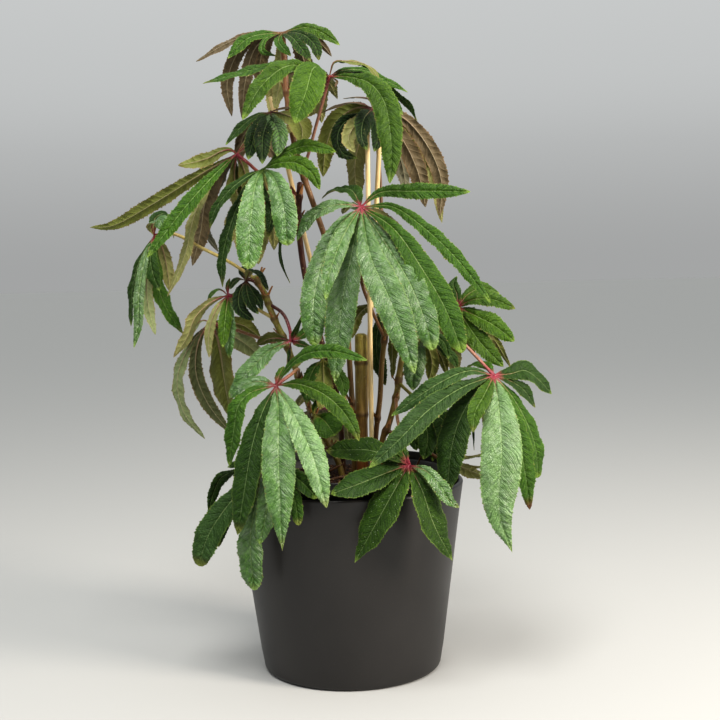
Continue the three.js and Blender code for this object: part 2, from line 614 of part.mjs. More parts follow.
// A leaflet is a thin plate, flat on top with a keel for the midrib below.
function bladeSolid(hub, { width, turn, through }, grow) {
  const points = [hub, ...through.map(placed)];
  const spine = new THREE.CatmullRomCurve3(points, false, 'centripetal');
  const tip = points[points.length - 1];
  const outward = new THREE.Vector3(tip.x - hub.x, tip.y - hub.y, 0).normalize();
  const across = new THREE.Vector3(0, 0, 1).cross(outward);
  const angle = THREE.MathUtils.degToRad(turn) * (across.y <= 0 ? 1 : -1);
  const swellPeak = SWELL_POWER / (SWELL_POWER + TAPER_POWER);
  const peak = swellPeak ** SWELL_POWER * (1 - swellPeak) ** TAPER_POWER;
  const steps = THREE.MathUtils.clamp(Math.round(spine.getLength() / BLADE_STEP), 2, MOST_BLADE_STEPS);
  const corners = [];
  for (let i = 0; i < steps; i++) {
    const t = i / steps;
    const centre = spine.getPointAt(t);
    const along = spine.getTangentAt(t);
    const side = across.clone().addScaledVector(along, -across.dot(along)).normalize();
    const top = along.clone().cross(side);
    const turnedSide = side.clone().multiplyScalar(Math.cos(angle)).addScaledVector(top, -Math.sin(angle));
    const turnedTop = top.clone().multiplyScalar(Math.cos(angle)).addScaledVector(side, Math.sin(angle));
    const share = (t ** SWELL_POWER * (1 - t) ** TAPER_POWER) / peak;
    const half = Math.max(STALK_WIDTH, width * share) / 2 + grow;
    const lift = turnedTop.clone().multiplyScalar(grow);
    corners.push([
      centre.clone().addScaledVector(turnedSide, -half).add(lift),
      centre.clone().addScaledVector(turnedTop, -BLADE_DEPTH - grow),
      centre.clone().addScaledVector(turnedSide, half).add(lift),
    ]);
  }
  const end = tip.clone().addScaledVector(spine.getTangentAt(1), grow);
  const faces = [[corners[0][0], corners[0][2], corners[0][1]]];
  for (let i = 0; i + 1 < corners.length; i++) {
    for (let k = 0; k < 3; k++) {
      const next = (k + 1) % 3;
      faces.push([corners[i][k], corners[i][next], corners[i + 1][next]]);
      faces.push([corners[i][k], corners[i + 1][next], corners[i + 1][k]]);
    }
  }
  const last = corners[corners.length - 1];
  for (let k = 0; k < 3; k++) faces.push([last[k], last[(k + 1) % 3], end]);
  const geometry = new THREE.BufferGeometry().setFromPoints(faces.flat());
  return solid(geometry);
}

// The point on a cane's centre line at a height
function pointOnCane(name, height) {
  const cane = canes.find((one) => one.name === name);
  const curve = new THREE.CatmullRomCurve3(cane.through.map(placed), false, 'centripetal');
  let [low, high] = [0, 1];
  for (let i = 0; i < 24; i++) {
    const middle = (low + high) / 2;
    if (curve.getPointAt(middle).z < height) low = middle;
    else high = middle;
  }
  return curve.getPointAt(low);
}

// A whole leaf: its leaflets, the hub they spread from, and the stalk down to its cane
function leafSolid({ hub, petiole, joins, blades }, grow = 0) {
  const centre = placed(hub);
  const ball = new THREE.OctahedronGeometry(HUB_RADIUS + grow, 0);
  ball.translate(centre.x, centre.y, centre.z);
  const route = [centre, ...petiole.map(placed)];
  if (joins) route.push(pointOnCane(...joins));
  const stalk = tube(route, STALK_WIDTH / 2 + 0.4 + grow, PETIOLE_SIDES, PETIOLE_STEP);
  return joined([solid(ball), stalk, ...blades.map((row) => bladeSolid(centre, row, grow))]);
}

function caneSolid({ radius, through, nodes = [] }, grow = 0) {
  const points = through.map(placed);
  const sides = nodes.length ? THICK_CANE_SIDES : CANE_SIDES;
  const curve = new THREE.CatmullRomCurve3(points, false, 'centripetal');
  const parts = [tube(points, radius + grow, sides, CANE_STEP)];
  for (const t of nodes) {
    const ring = new THREE.CylinderGeometry(radius + NODE_SWELLING + grow, radius + NODE_SWELLING + grow,
      NODE_LENGTH + 2 * grow, sides);
    const turn = new THREE.Quaternion().setFromUnitVectors(new THREE.Vector3(0, 1, 0), curve.getTangentAt(t));
    const centre = curve.getPointAt(t);
    ring.applyQuaternion(turn);
    ring.translate(centre.x, centre.y, centre.z);
    parts.push(solid(ring));
  }
  return joined(parts);
}

function stakeSolid({ foot, top }, grow = 0) {
  return tube([placed(foot), placed(top)], STAKE_RADIUS + grow, STAKE_SIDES, Infinity);
}

// A profile of [radius, height] turned about the pot's axis
function turned(profile, sides) {
  const outline = profile.map(([r, z]) => new THREE.Vector2(r, z));
  const geometry = new THREE.LatheGeometry(outline, sides);
  geometry.rotateX(Math.PI / 2);
  return solid(geometry);
}

function coverPot() {
  const slope = (COVER_RIM_RADIUS - COVER_FOOT_RADIUS) / COVER_HEIGHT;
  const outerAt = (z) => COVER_FOOT_RADIUS + slope * z;
  const profile = [[0, 0]];
  for (let i = 0; i <= 2; i++) {
    const angle = (i / 2) * (Math.PI / 2);
    const radius = COVER_FOOT_RADIUS - COVER_FOOT_ROUNDING * (1 - Math.sin(angle));
    profile.push([radius, COVER_FOOT_ROUNDING * (1 - Math.cos(angle))]);
  }
  const lip = COVER_WALL / 2;
  for (let i = 0; i <= 4; i++) {
    const angle = (i / 4) * Math.PI;
    const centre = COVER_RIM_RADIUS - lip;
    profile.push([centre + lip * Math.cos(angle), COVER_HEIGHT - lip + lip * Math.sin(angle)]);
  }
  profile.push([outerAt(COVER_FLOOR) - COVER_WALL, COVER_FLOOR]);
  profile.push([0, COVER_FLOOR]);
  return turned(profile, COVER_SIDES);
}

function growingPotProfile() {
  const foot = COVER_FLOOR + GAP;
  const shoulder = GROW_RIM_HEIGHT - GROW_RIM_BAND;
  const wallTop = GROW_RIM_RADIUS - GROW_RIM_STEP;
  return [
    [0, foot],
    [GROW_FOOT_RADIUS, foot],
    [wallTop, shoulder],
    [GROW_RIM_RADIUS, shoulder],
    [GROW_RIM_RADIUS, GROW_RIM_HEIGHT],
    [GROW_RIM_RADIUS - GROW_WALL, GROW_RIM_HEIGHT],
    [wallTop - GROW_WALL, shoulder],
    [GROW_FOOT_RADIUS - GROW_WALL, foot + GROW_WALL],
    [0, foot + GROW_WALL],
  ];
}

function growingPot() {
  const shell = turned(growingPotProfile(), GROW_SIDES);
  const drains = [];
  for (let i = 0; i < GROW_DRAINS; i++) {
    const angle = (i / GROW_DRAINS) * 2 * Math.PI;
    const drain = new THREE.CylinderGeometry(GROW_DRAIN_RADIUS, GROW_DRAIN_RADIUS, 4 * GROW_WALL, 8);
    drain.rotateX(Math.PI / 2);
    const reach = GROW_FOOT_RADIUS * 0.7;
    drain.translate(reach * Math.cos(angle), reach * Math.sin(angle), COVER_FLOOR + GROW_WALL);
    drains.push(solid(drain));
  }
  return shell.subtract(joined(drains));
}

function soilPlug() {
  const foot = COVER_FLOOR + GAP + GROW_WALL;
  const shoulder = GROW_RIM_HEIGHT - GROW_RIM_BAND;
  const innerTop = GROW_RIM_RADIUS - GROW_RIM_STEP - GROW_WALL;
  const innerFoot = GROW_FOOT_RADIUS - GROW_WALL;
  const slope = (innerTop - innerFoot) / (shoulder - foot);
  const innerAt = (z) => innerFoot + slope * (z - foot) - SOIL_CLEARANCE;
  const profile = [
    [0, foot + SOIL_CLEARANCE],
    [innerAt(foot + SOIL_CLEARANCE), foot + SOIL_CLEARANCE],
    [innerAt(SOIL_EDGE_HEIGHT), SOIL_EDGE_HEIGHT],
    [innerAt(SOIL_EDGE_HEIGHT) * 0.6, SOIL_MIDDLE_HEIGHT - 1],
    [0, SOIL_MIDDLE_HEIGHT],
  ];
  return turned(profile, GROW_SIDES);
}

const part = new THREE.Group();

function addPiece(name, body, colour, roughness) {
  const material = new THREE.MeshStandardMaterial({ color: colour, roughness, metalness: 0 });
  const mesh = new THREE.Mesh(geometryOf(body), material);
  mesh.name = name;
  part.add(mesh);
}

const upright = [
  ...canes.map((cane) => caneSolid(cane, GAP)),
  ...stakes.map((stake) => stakeSolid(stake, GAP)),
];
const uprightRoom = joined(upright);

addPiece('cover_pot', coverPot(), '#3a3b3d', 0.45);
addPiece('growing_pot', growingPot(), '#151515', 0.5);
addPiece('soil', soilPlug().subtract(uprightRoom), '#3b2416', 0.95);
for (const cane of canes) addPiece(cane.name, caneSolid(cane), cane.colour, 0.5);
for (const stake of stakes) addPiece(stake.name, stakeSolid(stake), '#e6cf94', 0.6);
for (const leaf of leaves) {
  addPiece(leaf.name, leafSolid(leaf).subtract(uprightRoom), '#3f6b2a', 0.4);
}

export default part;
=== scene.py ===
# A palm-leaf begonia in a black growing pot, inside a charcoal cover pot: its finished surfaces.
# Metres, +Z up. The origin is the centre of the cover pot's underside, and -Y is the front.

import math
import random

import bpy
import numpy as np
from mathutils import Matrix, Vector


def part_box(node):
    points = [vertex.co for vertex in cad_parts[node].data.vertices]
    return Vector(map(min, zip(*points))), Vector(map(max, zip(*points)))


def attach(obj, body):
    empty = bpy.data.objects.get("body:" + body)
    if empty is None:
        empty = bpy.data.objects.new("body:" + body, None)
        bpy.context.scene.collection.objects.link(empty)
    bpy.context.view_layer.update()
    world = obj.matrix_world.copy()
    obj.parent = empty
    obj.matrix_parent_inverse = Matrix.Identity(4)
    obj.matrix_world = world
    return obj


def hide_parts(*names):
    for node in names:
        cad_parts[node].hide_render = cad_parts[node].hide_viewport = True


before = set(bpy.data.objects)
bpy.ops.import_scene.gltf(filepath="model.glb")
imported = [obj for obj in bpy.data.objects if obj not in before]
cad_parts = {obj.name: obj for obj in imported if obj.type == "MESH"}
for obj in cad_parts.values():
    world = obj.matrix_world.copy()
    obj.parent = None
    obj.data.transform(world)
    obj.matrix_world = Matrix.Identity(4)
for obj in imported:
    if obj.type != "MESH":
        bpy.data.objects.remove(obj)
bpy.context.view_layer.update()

MM = 0.001
SEED = 7

# Points on each stretch of a curve, before they are spaced evenly
CURVE_SAMPLES = 33

# Values of a wire's points that have three parts
VECTORS = ("centre", "side", "top", "tint", "under", "root")

# Kinds of node that many trees use
MATH = "ShaderNodeMath"
VECTOR = "ShaderNodeVectorMath"
RANGE = "ShaderNodeMapRange"
MIX = "ShaderNodeMix"
NOISE = "ShaderNodeTexNoise"
VORONOI = "ShaderNodeTexVoronoi"
ATTRIBUTE = "ShaderNodeAttribute"
NAMED = "GeometryNodeInputNamedAttribute"
STORE = "GeometryNodeStoreNamedAttribute"
COAT = "GeometryNodeSetMaterial"

# The front view's eye point. A plant point is written [x, z, near] in millimetres: where it is seen
# from there on the upright plane through the pot's axis, and how far in front of that plane it lies.
EYE_BACK = 1044.0
EYE_HEIGHT = 345.5

# Camera
LENS = 60.0
SENSOR = 36.0
PITCH = math.radians(4.2)
YAW = math.radians(0.674)
ROLL = math.radians(-1.3)

# Light: the studio's walls from foot to top, its ceiling, how much dimmer it is on the left and
# brighter on the right, how high up the walls and the ceiling take over (0 is level, 1 overhead),
# then each lamp's name, place, power, width and colour
WALL_FOOT_LIGHT = (0.346, 0.351, 0.351, 1)
WALL_LIGHT = (0.46, 0.47, 0.47, 1)
CEILING_LIGHT = (0.82, 0.84, 0.84, 1)
LEFT_LIGHT = 0.6
RIGHT_LIGHT = 1.35
WALL_FULL = 0.16
CEILING_FROM = 0.1
CEILING_FULL = 0.9
FLOOR_WIDTH = 60.0
FLOOR_COLOUR = (0.46, 0.46, 0.45, 1)
LAMP_AIM = Vector((0.0, 0.0, 0.28))
LAMPS = [
    ("key", (1.4, -0.9, 0.85), 32.0, 0.5, "#fff4e6"),
    ("top", (-0.1, -0.8, 1.5), 18.0, 0.6, "#fffdf8"),
]

# Pots, in metres
COVER_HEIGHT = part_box("cover_pot")[1][2]
COVER_RIM_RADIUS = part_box("cover_pot")[1][0]
COVER_FOOT_RADIUS = 78 * MM
COVER_WALL = 4 * MM
COVER_FLOOR = 5 * MM
COVER_FOOT_ROUNDING = 5 * MM
GROW_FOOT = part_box("growing_pot")[0][2]
GROW_RIM_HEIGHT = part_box("growing_pot")[1][2]
GROW_RIM_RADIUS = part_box("growing_pot")[1][0]
GROW_RIM_BAND = 9 * MM
GROW_RIM_STEP = 1.6 * MM
GROW_FOOT_RADIUS = 67 * MM
GROW_WALL = 1.6 * MM
DRAINS = 4
DRAIN_RADIUS = 5 * MM
DRAIN_SIDES = 24
DRAIN_REACH = 0.7
POT_SIDES = 144
SOIL_GAP = 0.4 * MM
SOIL_EDGE_HEIGHT = 162 * MM
SOIL_MIDDLE_HEIGHT = 167 * MM
SOIL_BUMP = 0.9 * MM
SOIL_RINGS = 28
SOIL_SIDES = 96

# Leaflets: how they widen from the hub and narrow to the tip, as powers of the share of the length
SWELL_POWER = 1.1
TAPER_POWER = 0.8
BLUNT_POWERS = (1.05, 0.5)
DRAWN_POWERS = (1.1, 1.15)
FOOT_WIDTH = 1.6 * MM
STATION = 0.9 * MM
RIB_STATION = 3.0 * MM
LEAF_SIZES = {
    "Columns": 10,
    "Tooth length": 2.2 * MM,
    "Tooth depth": 1.5 * MM,
    "Vein spacing": 7.0 * MM,
    "Vein slant": 1.0,
    "Vein stray": 1.1,
    "Vein height": 1.3 * MM,
    "Ruffle length": 24.0 * MM,
    "Ruffle height": 1.0 * MM,
    "Sheet thickness": 0.4 * MM,
    "Fold": 0.42,
    "Arch": 0.36,
    "Stalk sides": 8,
}
# Teeth: the smallest and the largest, how far the notches are set back, all as shares of the tooth
# depth, and how much of the width they take, as a power of the share of the half width
TOOTH_LEAST = 0.4
TOOTH_MOST = 1.3
NOTCH = 0.35
TOOTH_POWER = 14.0
# The half width from which a leaflet has its full relief
FULL_RELIEF_WIDTH = 6 * MM
# Midribs, stalks and hubs, in millimetres
RIB_RADIUS = 0.35
RIB_RADIUS_BY_WIDTH = 0.034
RIB_TIP_RADIUS = 0.2
STALK_RADIUS = 1.45
HUB_RADIUS = 1.9
STALK_FOOT_SWELLING = 0.4

# Canes, stakes and twigs, in millimetres
CANE_STATION = 1.5
CANE_SIDES = 12
THICK_CANE_RADIUS = 4
THICK_CANE_SIDES = 20
NODE_SWELLING = 0.9
NODE_REACH = 2.6
STAKE_RADIUS = 2.1
STAKE_SIDES = 10
TWIG_RADIUS = 1.3
TWIG_TIP_RADIUS = 0.7
TWIG_SIDES = 8
TWIG_COLOUR = "#5a3c22"

# Dry stipules at the canes' nodes
STIPULE_SIZES = {
    "Length": 11 * MM,
    "Width": 6 * MM,
    "Curl": 1.9 * MM,
    "Rows": 7,
    "Columns": 5,
}
STIPULES_AT_NODE = 2

# Peat and bark on the soil, from the finest to the coarsest
SOIL_SIZES = {
    "Crumb spacing": 2.1 * MM,
    "Crumb size": 1.7 * MM,
    "Chip spacing": 9 * MM,
    "Chip length": 4.5 * MM,
}

# What the tone words of a leaflet mean: the colour of the side that shows in the front view, and
# whether that side is the underside.
TOPS = {
    "bright": "#4c6a0a",
    "green": "#436610",
    "deep": "#32500c",
    "dark": "#2a4418",
    # The sheen and pale colours are partly the leaflets' own green and partly painted sheen of the light
    # on glossy leaflets
    "sheen": "#527a30",
    "pale": "#84a66a",
    "velvet": "#345000",
    "dull": "#3e5a28",
}
UNDERSIDES = {
    "khaki": "#8a8c58",
    "brown": "#5c5039",
    "olive": "#666d30",
    "grey": "#7d7c68",
    "mauve": "#786b56",
    "sage": "#7e8a60",
    "moss": "#4e5432",
}
HIDDEN_TOP = "deep"
HIDDEN_UNDERSIDE = "khaki"
STALK_COLOURS = {
    "pink": "#8c2f40",
    "red": "#7c2c32",
    "salmon": "#a07460",
    "rose": "#9a5248",
    "orange": "#8a6648",
    "straw": "#b0a060",
    "olive": "#7d7a38",
    "brown": "#6a4a2c",
    "green": "#6d8a40",
    "dark": "#4a2018",
}

# One leaf: its hub, the colours of hub and stalk, the points of the stalk below the hub, the cane
# that the stalk joins with the height where it does, and the leaflets. A leaflet is its tone with
# a word for an unusual form, after the word "behind" where its top isn't turned to suit the front
# view, its greatest width, how far its top is turned from its natural tilt towards the front in
# degrees, and the points its midrib passes through after the hub.
LEAVES = {
    "leaf_crown": {
        "hub": (-48, 551, 0), "colours": ("brown", "brown"), "stalk": [(-47.5, 547.5, 0)],
        "joins": None,
        "leaflets": [
            ("brown", 9, 60, (-67, 551, -7), (-84, 547, -14), (-98.5, 541, -17), (-122, 528, -22)),
            ("green", 13, 45, (-76, 547, 10), (-95, 530, 18)),
            ("brown", 12, -50, (-81, 541, -22), (-96, 510, -34), (-93, 481, -38)),
            ("brown", 11, -45, (-70, 540, -18), (-81, 508, -30), (-84, 478, -32)),
            ("green", 6, 0, (-63, 545, 10), (-65, 536, 16), (-53, 531, 14)),
            ("green", 8, 20, (-51, 543, 14), (-41, 531, 22)),
            ("bright", 12, 55, (-38.5, 553, 3), (-27, 554.5, 6), (-14, 550, 10), (1, 539.5, 12)),
            ("deep pleated", 13, 30, (-31, 549, 14), (-20, 539, 24), (-17, 527, 28)),
            ("deep pleated", 12, 20, (-39, 546, 18), (-31, 536, 28), (-24, 526, 32)),
            ("brown", 8, -40, (-24, 548, -16), (-14, 540, -24), (-6, 530, -28)),
            ("khaki", 14, -40, (-49, 535, -10), (-51, 510, -16), (-56, 487, -16)),
            ("brown", 15, -20, (-37, 544, -12), (-29, 524, -18), (-27, 498, -22)),
            ("brown", 14, -20, (-62, 543, -26), (-68, 522, -42), (-66, 500, -48)),
        ],
    },
    "leaf_shoulder": {
        "hub": (-8.5, 513, 22), "colours": ("red", "salmon"),
        "stalk": [(-14, 494, 20), (-22, 468, 14), (-28, 448, 8)], "joins": ("cane_tall", 433),
        "leaflets": [
            ("green", 13, 35, (-36, 523.5, 32), (-63.5, 522, 40), (-88, 516.5, 46), (-117, 509.5, 50)),
            ("bright", 17, 50, (-42, 523, 46), (-67, 506, 60), (-84, 478, 66)),
            ("bright", 27, 35, (-21, 521, 44), (-29, 500, 62), (-39, 474, 68)),
            ("olive", 11, 20, (-3.5, 525, 25), (5, 525.5, 27),
             (22.5, 522.5, 30), (30.5, 515, 31), (35, 503.5, 32)),
            ("green", 10, 50, (1, 517.5, 18), (21, 517.5, 13), (39, 509, 12), (58.5, 498.5, 8)),
            ("brown", 9, -35, (8, 515, 10), (24, 510, 4), (35, 502, 0)),
            ("bright", 21, 50, (6.5, 512.5, 35), (26, 506.5, 51), (38, 491, 62),
             (42.5, 468, 70), (43.5, 444, 75), (41.5, 421, 76)),
            ("deep", 14, 40, (20, 512, 30), (40, 497, 38), (54, 479, 42)),
            ("deep", 12, -20, (30, 506, 16), (57, 490, 14), (66, 474, 12)),
            ("brown", 3, 0, (-2, 509, 26), (-4, 504, 28)),
            ("khaki", 10, -50, (-14, 500, 8), (-21, 488, 2), (-29, 479, -2)),
        ],
    },
    "leaf_top_right": {
        "hub": (28, 485.5, -4), "colours": ("red", "brown"),
        "stalk": [(30, 468, -14), (33, 430, -22), (34, 395, -17), (34, 374.6, -14)], "joins": None,
        "leaflets": [
            ("brown", 15, -65, (54, 477, -16), (76, 450, -24), (86, 422, -30), (84, 392, -32)),
            ("khaki", 13, -60, (56, 470, -30), (78, 432, -42), (86, 386, -48)),
            ("brown", 17, -60, (50, 463, -14), (65, 433, -22), (72, 400, -26)),
            ("grey", 15, -60, (42, 465, -24), (52, 438, -36), (56, 408, -42)),
            ("brown", 6, 20, (16, 490, 4), (2, 489.5, 8), (-17, 482, 10)),
            ("brown", 6, 10, (25, 493, -8), (16, 495, -12), (3, 494, -16)),
            ("olive", 19, -70, (14, 486, -20), (-4, 474, -30), (-13, 452, -36), (-16, 428, -36)),
            ("dark pleated", 12, 60, (18.5, 480, 4), (2, 472.5, 12),
             (-3, 459, 14), (1.5, 448, 13), (14, 443, 10)),
            ("khaki", 14, 50, (20.5, 478, 10), (10.5, 468.5, 22), (6.5, 459, 26), (12, 448, 26)),
            ("dark pleated", 15, 40, (19.5, 474.5, 22), (18, 461, 30), (22.5, 450, 30)),
            ("dark pleated", 14, 30, (30.5, 472, 14), (31.5, 458.5, 21), (28.5, 448.5, 22)),
            ("khaki", 20, -65, (19, 465, -20), (12, 438, -28), (14, 404, -30)),
        ],
    },
    "leaf_upper_left": {
        "hub": (-60, 484, 12), "colours": ("dark", "dark"), "stalk": [(-53, 480, 8)],
        "joins": ("cane_tall", 473),
        "leaflets": [
            ("deep", 10, 30, (-72, 481, 22), (-86, 471, 30), (-99, 457, 34)),
            ("brown", 13, -30, (-71, 477, 6), (-84, 463, 2), (-88, 440, 0)),
            ("dark pleated", 15, 30, (-68, 475, 28), (-75, 461, 40), (-80, 444, 44)),
            ("dark pleated", 15, 10, (-63, 475, 32), (-67, 462, 44), (-68, 440, 46)),
            ("sheen pleated", 16, 10, (-57, 475, 32), (-53, 463, 40), (-55, 446, 42)),
            ("brown", 8, 20, (-50, 487, 14), (-38, 487, 12), (-26, 480, 8)),
            ("olive pleated", 20, 30, (-49, 481.5, 22), (-35.5, 475, 31),
             (-33, 466.5, 33), (-34.5, 454.5, 34)),
        ],
    },
    "leaf_left_long": {
        "hub": (-90, 449, 12), "colours": ("pink", "rose"),
        "stalk": [(-80, 441, 8), (-70.5, 432.5, 2), (-52, 424, -8)], "joins": ("cane_dark", 412),
        "leaflets": [
            ("olive", 12, 70, (-94.5, 452.5, 13), (-102.5, 451.5, 15),
             (-114, 446, 18), (-127, 442.5, 19), (-140.5, 440.5, 20)),
            ("olive", 13, -65, (-122, 432, -8), (-165, 407, -24), (-199, 390, -34), (-218, 389, -38)),
            ("green", 13.5, 65, (-108, 433, 26), (-135, 405, 38), (-170, 362, 46)),
            ("brown", 18, -60, (-106, 434, -12), (-118, 408, -24), (-123, 382, -30), (-131, 354, -32)),
            ("grey", 15, -60, (-101.5, 435.5, -15), (-111.5, 418.5, -29),
             (-121, 399, -38), (-117.5, 381.5, -41), (-108, 365.5, -44)),
            ("khaki", 9, 60, (-80, 460, 12), (-60, 467, 10), (-27, 471, 4)),
            ("olive", 20, -60, (-92.5, 437, 0), (-92.5, 424, -9), (-89, 408, -16), (-84.5, 394, -20)),
            ("olive", 16, -60, (-84, 434, -10), (-81, 416, -22), (-83, 392, -26)),
            ("khaki", 11, 50, (-112, 427, 12), (-128, 396, 20), (-137, 363, 24), (-153.5, 328, 24)),
            ("mauve", 16, -60, (-77, 458, 4), (-63, 455, -2), (-52, 443, -6)),
        ],
    },
    "leaf_left_glossy": {
        "hub": (-67, 436, 30), "colours": ("green", "orange"), "stalk": [(-66, 424, 24), (-56, 404, 6)],
        "joins": ("cane_dark", 386),
        "leaflets": [
            ("bright", 13, 60, (-52, 447, 38), (-30, 454.5, 46), (-4, 449, 50)),
            ("bright", 14, 60, (-53, 440.5, 44), (-38.5, 440, 52), (-25.5, 431, 57), (-19, 417, 58)),
            ("sheen blunt", 21, 40, (-58, 427, 50), (-51, 405, 62), (-48, 369.5, 66)),
            ("sheen blunt", 23, 30, (-74, 424, 50), (-79, 394, 64), (-83, 350, 68)),
            ("deep", 10, 50, (-82, 429, 38), (-98, 417, 42), (-110, 401, 42), (-115, 386, 40)),
            ("dark", 13, -30, (-64, 424, 10), (-61, 402, 2), (-65, 377, 0)),
            ("dark", 8, 10, (-78, 422, 24), (-89, 394, 24), (-87, 371, 22)),
            ("deep", 14, 50, (-84, 416, 30), (-97, 388, 32), (-105, 358, 32), (-105.5, 335, 30)),
            ("dark", 5, 0, (-60, 420, 22), (-54.5, 390, 18), (-54, 356, 16), (-47, 337, 14)),
        ],
    },
    "leaf_centre": {
        "hub": (16, 401.5, 36), "colours": ("pink", "brown"),
        "stalk": [(15, 370, 24), (15, 338, 8), (22, 316, -2)], "joins": ("cane_right_back", 287),
        "leaflets": [
            ("green", 13.5, 80, (32, 413, 38), (60, 414, 40), (111, 412.5, 40)),
            ("green", 14, 60, (43, 401, 46), (70.5, 382, 53), (97.5, 355.5, 59), (127.5, 316, 60)),
            ("green blunt", 23, 55, (44, 382, 58), (68, 347, 70), (87, 313, 76), (102, 273, 76)),
            ("sheen blunt", 24, 45, (52, 344.5, 71), (62, 323.5, 77), (70.5, 299, 82), (76, 276, 82)),
            ("sheen", 27, 35, (24, 357, 70), (36, 329, 84), (47, 301, 92), (60, 255.5, 94)),
            ("sheen", 25, 30, (8, 365, 52), (-1, 325, 64), (-6, 290, 70), (-10, 250, 70)),
            ("sheen", 15, 45, (2, 380, 60), (-8.5, 356.5, 77), (-14, 339, 84), (-16.5, 322, 88)),
            ("sheen blunt", 22, 50, (-5, 384, 46), (-20, 350, 58), (-27, 318, 64), (-27, 282, 64)),
            ("sheen", 14, 55, (6.5, 403.5, 35), (-9, 403, 34),
             (-23, 397, 34), (-33.5, 386, 32), (-40, 373.5, 30)),
            ("deep", 18, 20, (13.5, 407.5, 29), (8, 416, 17),
             (-1, 417, 9), (-10.5, 414.5, 6), (-17.5, 409.5, 4)),
            ("khaki", 15, -30, (28, 397, 26), (44, 380, 4), (58, 350, -12)),
            ("deep", 15, -30, (6, 380, 8), (2, 354.5, -10), (-5.5, 330, -20), (-12.5, 321.5, -24)),
        ],
    },
    "leaf_far_left": {
        "hub": (-163, 380.5, 6), "colours": ("pink", "straw"),
        "stalk": [(-147, 382, 6), (-122, 369, 6), (-98, 356, 6)], "joins": ("cane_left", 341),
        "leaflets": [
            ("deep", 13, 30, (-162, 395, 2), (-152, 399, -4), (-146, 378, -8)),
            ("sheen", 14, 30, (-165, 390, 12), (-158, 394, 18), (-155, 384, 22)),
            ("khaki", 12, -50, (-157, 371, -4), (-153, 352, -10), (-151, 332, -12)),
            ("green", 16, 50, (-162.5, 359, 3), (-162, 340, 2),
             (-156, 320.5, 2), (-147, 304, 2), (-141, 295.5, 2)),
            ("deep", 13, 20, (-167, 364, 20), (-165, 347, 24), (-160, 333, 24)),
            ("sage", 12, 45, (-170, 352, 14), (-171, 325, 14), (-165, 295, 12)),
            ("sheen", 9, 50, (-172, 360, 24), (-178, 330, 26), (-179.5, 305, 26), (-184, 284, 24)),
            ("deep", 12, 45, (-175, 362, 10), (-183, 338, 8), (-186, 303, 4)),
        ],
    },
    "leaf_left_drooping": {
        "hub": (-101, 328, 12), "colours": ("pink", "straw"),
        "stalk": [(-92, 325, 12), (-78, 316.5, 13)], "joins": ("cane_left", 307),
        "leaflets": [
            ("khaki", 12, -55, (-115, 323, 16), (-130, 310, 18), (-138, 292, 18), (-150, 275, 16)),
            ("green", 7, 20, (-108, 333, 14), (-114, 330, 16), (-119, 324, 16)),
            ("green", 4, 0, (-101, 335, 10), (-99, 342.5, 8)),
            ("khaki", 15, -60, (-94, 324, 0), (-88, 311, -6)),
            ("bright", 11, 30, (-103, 315, 26), (-105, 300, 32), (-107, 282.5, 34)),
            ("khaki", 9, 30, (-110, 318, 22), (-118, 298, 26), (-119, 274, 26)),
            ("sheen", 11, 20, (-100, 312, 20), (-101, 292, 24), (-101.5, 273, 24)),
        ],
    },
    "leaf_left_lower": {
        "hub": (-117, 304.5, -6), "colours": ("red", "orange"),
        "stalk": [(-99, 299, -4), (-72, 289, 0)], "joins": ("cane_left", 282),
        "leaflets": [
            ("sage", 8, 30, (-124, 306.5, -4), (-133, 296, -8), (-141, 280, -12)),
            ("sage", 13, -60, (-133, 288, -12), (-147, 256, -22), (-142, 226, -28), (-125, 203, -30)),
            ("moss", 13, -60, (-127, 290, -8), (-131, 262, -14), (-122, 235, -16), (-103, 208, -16)),
            ("olive", 29, -75, (-112.5, 292, -15), (-109.5, 276, -21),
             (-107.5, 258.5, -27), (-104.5, 237.5, -30), (-103.5, 223.5, -32)),
            ("olive", 15, -60, (-105, 304, -18), (-90, 302, -30), (-74, 291, -38)),
            ("sage", 19, -60, (-102, 295, -24), (-88, 286, -42), (-72, 272, -52)),
        ],
    },
    "leaf_left_young": {
        "hub": (-85, 340.5, 14), "colours": ("dark", "dark"), "stalk": [(-82, 341, 12)],
        "joins": ("cane_left", 338),
        "leaflets": [
            ("dark pleated", 6, 30, (-92, 341.5, 20), (-97, 337, 22), (-99, 333, 22)),
            ("dark pleated", 11, 20, (-91, 330, 22), (-91, 316, 28), (-79, 305.5, 30)),
            ("dark pleated", 9, 20, (-80, 331, 24), (-75, 323, 28), (-71.5, 314, 30)),
            ("dark pleated", 10, 10, (-84, 328, 28), (-81, 319, 34), (-75, 311, 36)),
            ("dark pleated", 13, -10, (-80, 349, 24), (-72, 343, 30), (-66, 331, 32)),
            ("dark pleated", 9, 10, (-87, 347, 2), (-84, 352, -6), (-77, 353, -10)),
        ],
    },
    "leaf_middle_left": {
        "hub": (-47, 287, 26), "colours": ("pink", "dark"), "stalk": [(-48.5, 298, 24), (-54, 311, 18)],
        "joins": ("cane_left", 320),
        "leaflets": [
            ("sheen", 17, 55, (-66, 279, 34), (-84, 262, 38), (-103, 239, 38)),
            ("deep", 10, 20, (-43, 296, 34), (-38, 308, 38)),
            ("deep", 9, 30, (-40, 284, 32), (-30, 281, 34)),
            ("olive", 13, -40, (-58, 290, 20), (-68, 289, 16), (-77, 284, 12)),
            ("deep", 11, -20, (-50, 276, 28), (-52, 261, 27)),
            ("green", 13, 20, (-38, 291, 20), (-28, 300, 14), (-20, 296, 8)),
        ],
    },
    "leaf_front_left": {
        "hub": (-61.5, 248.5, 66), "colours": ("red", "orange"),
        "stalk": [(-49, 257, 58), (-42, 262, 40)], "joins": ("cane_left", 257),
        "leaflets": [
            ("green", 13, 55, (-50, 264, 76), (-35, 275, 88), (-12, 277, 98), (18.5, 268.5, 104)),
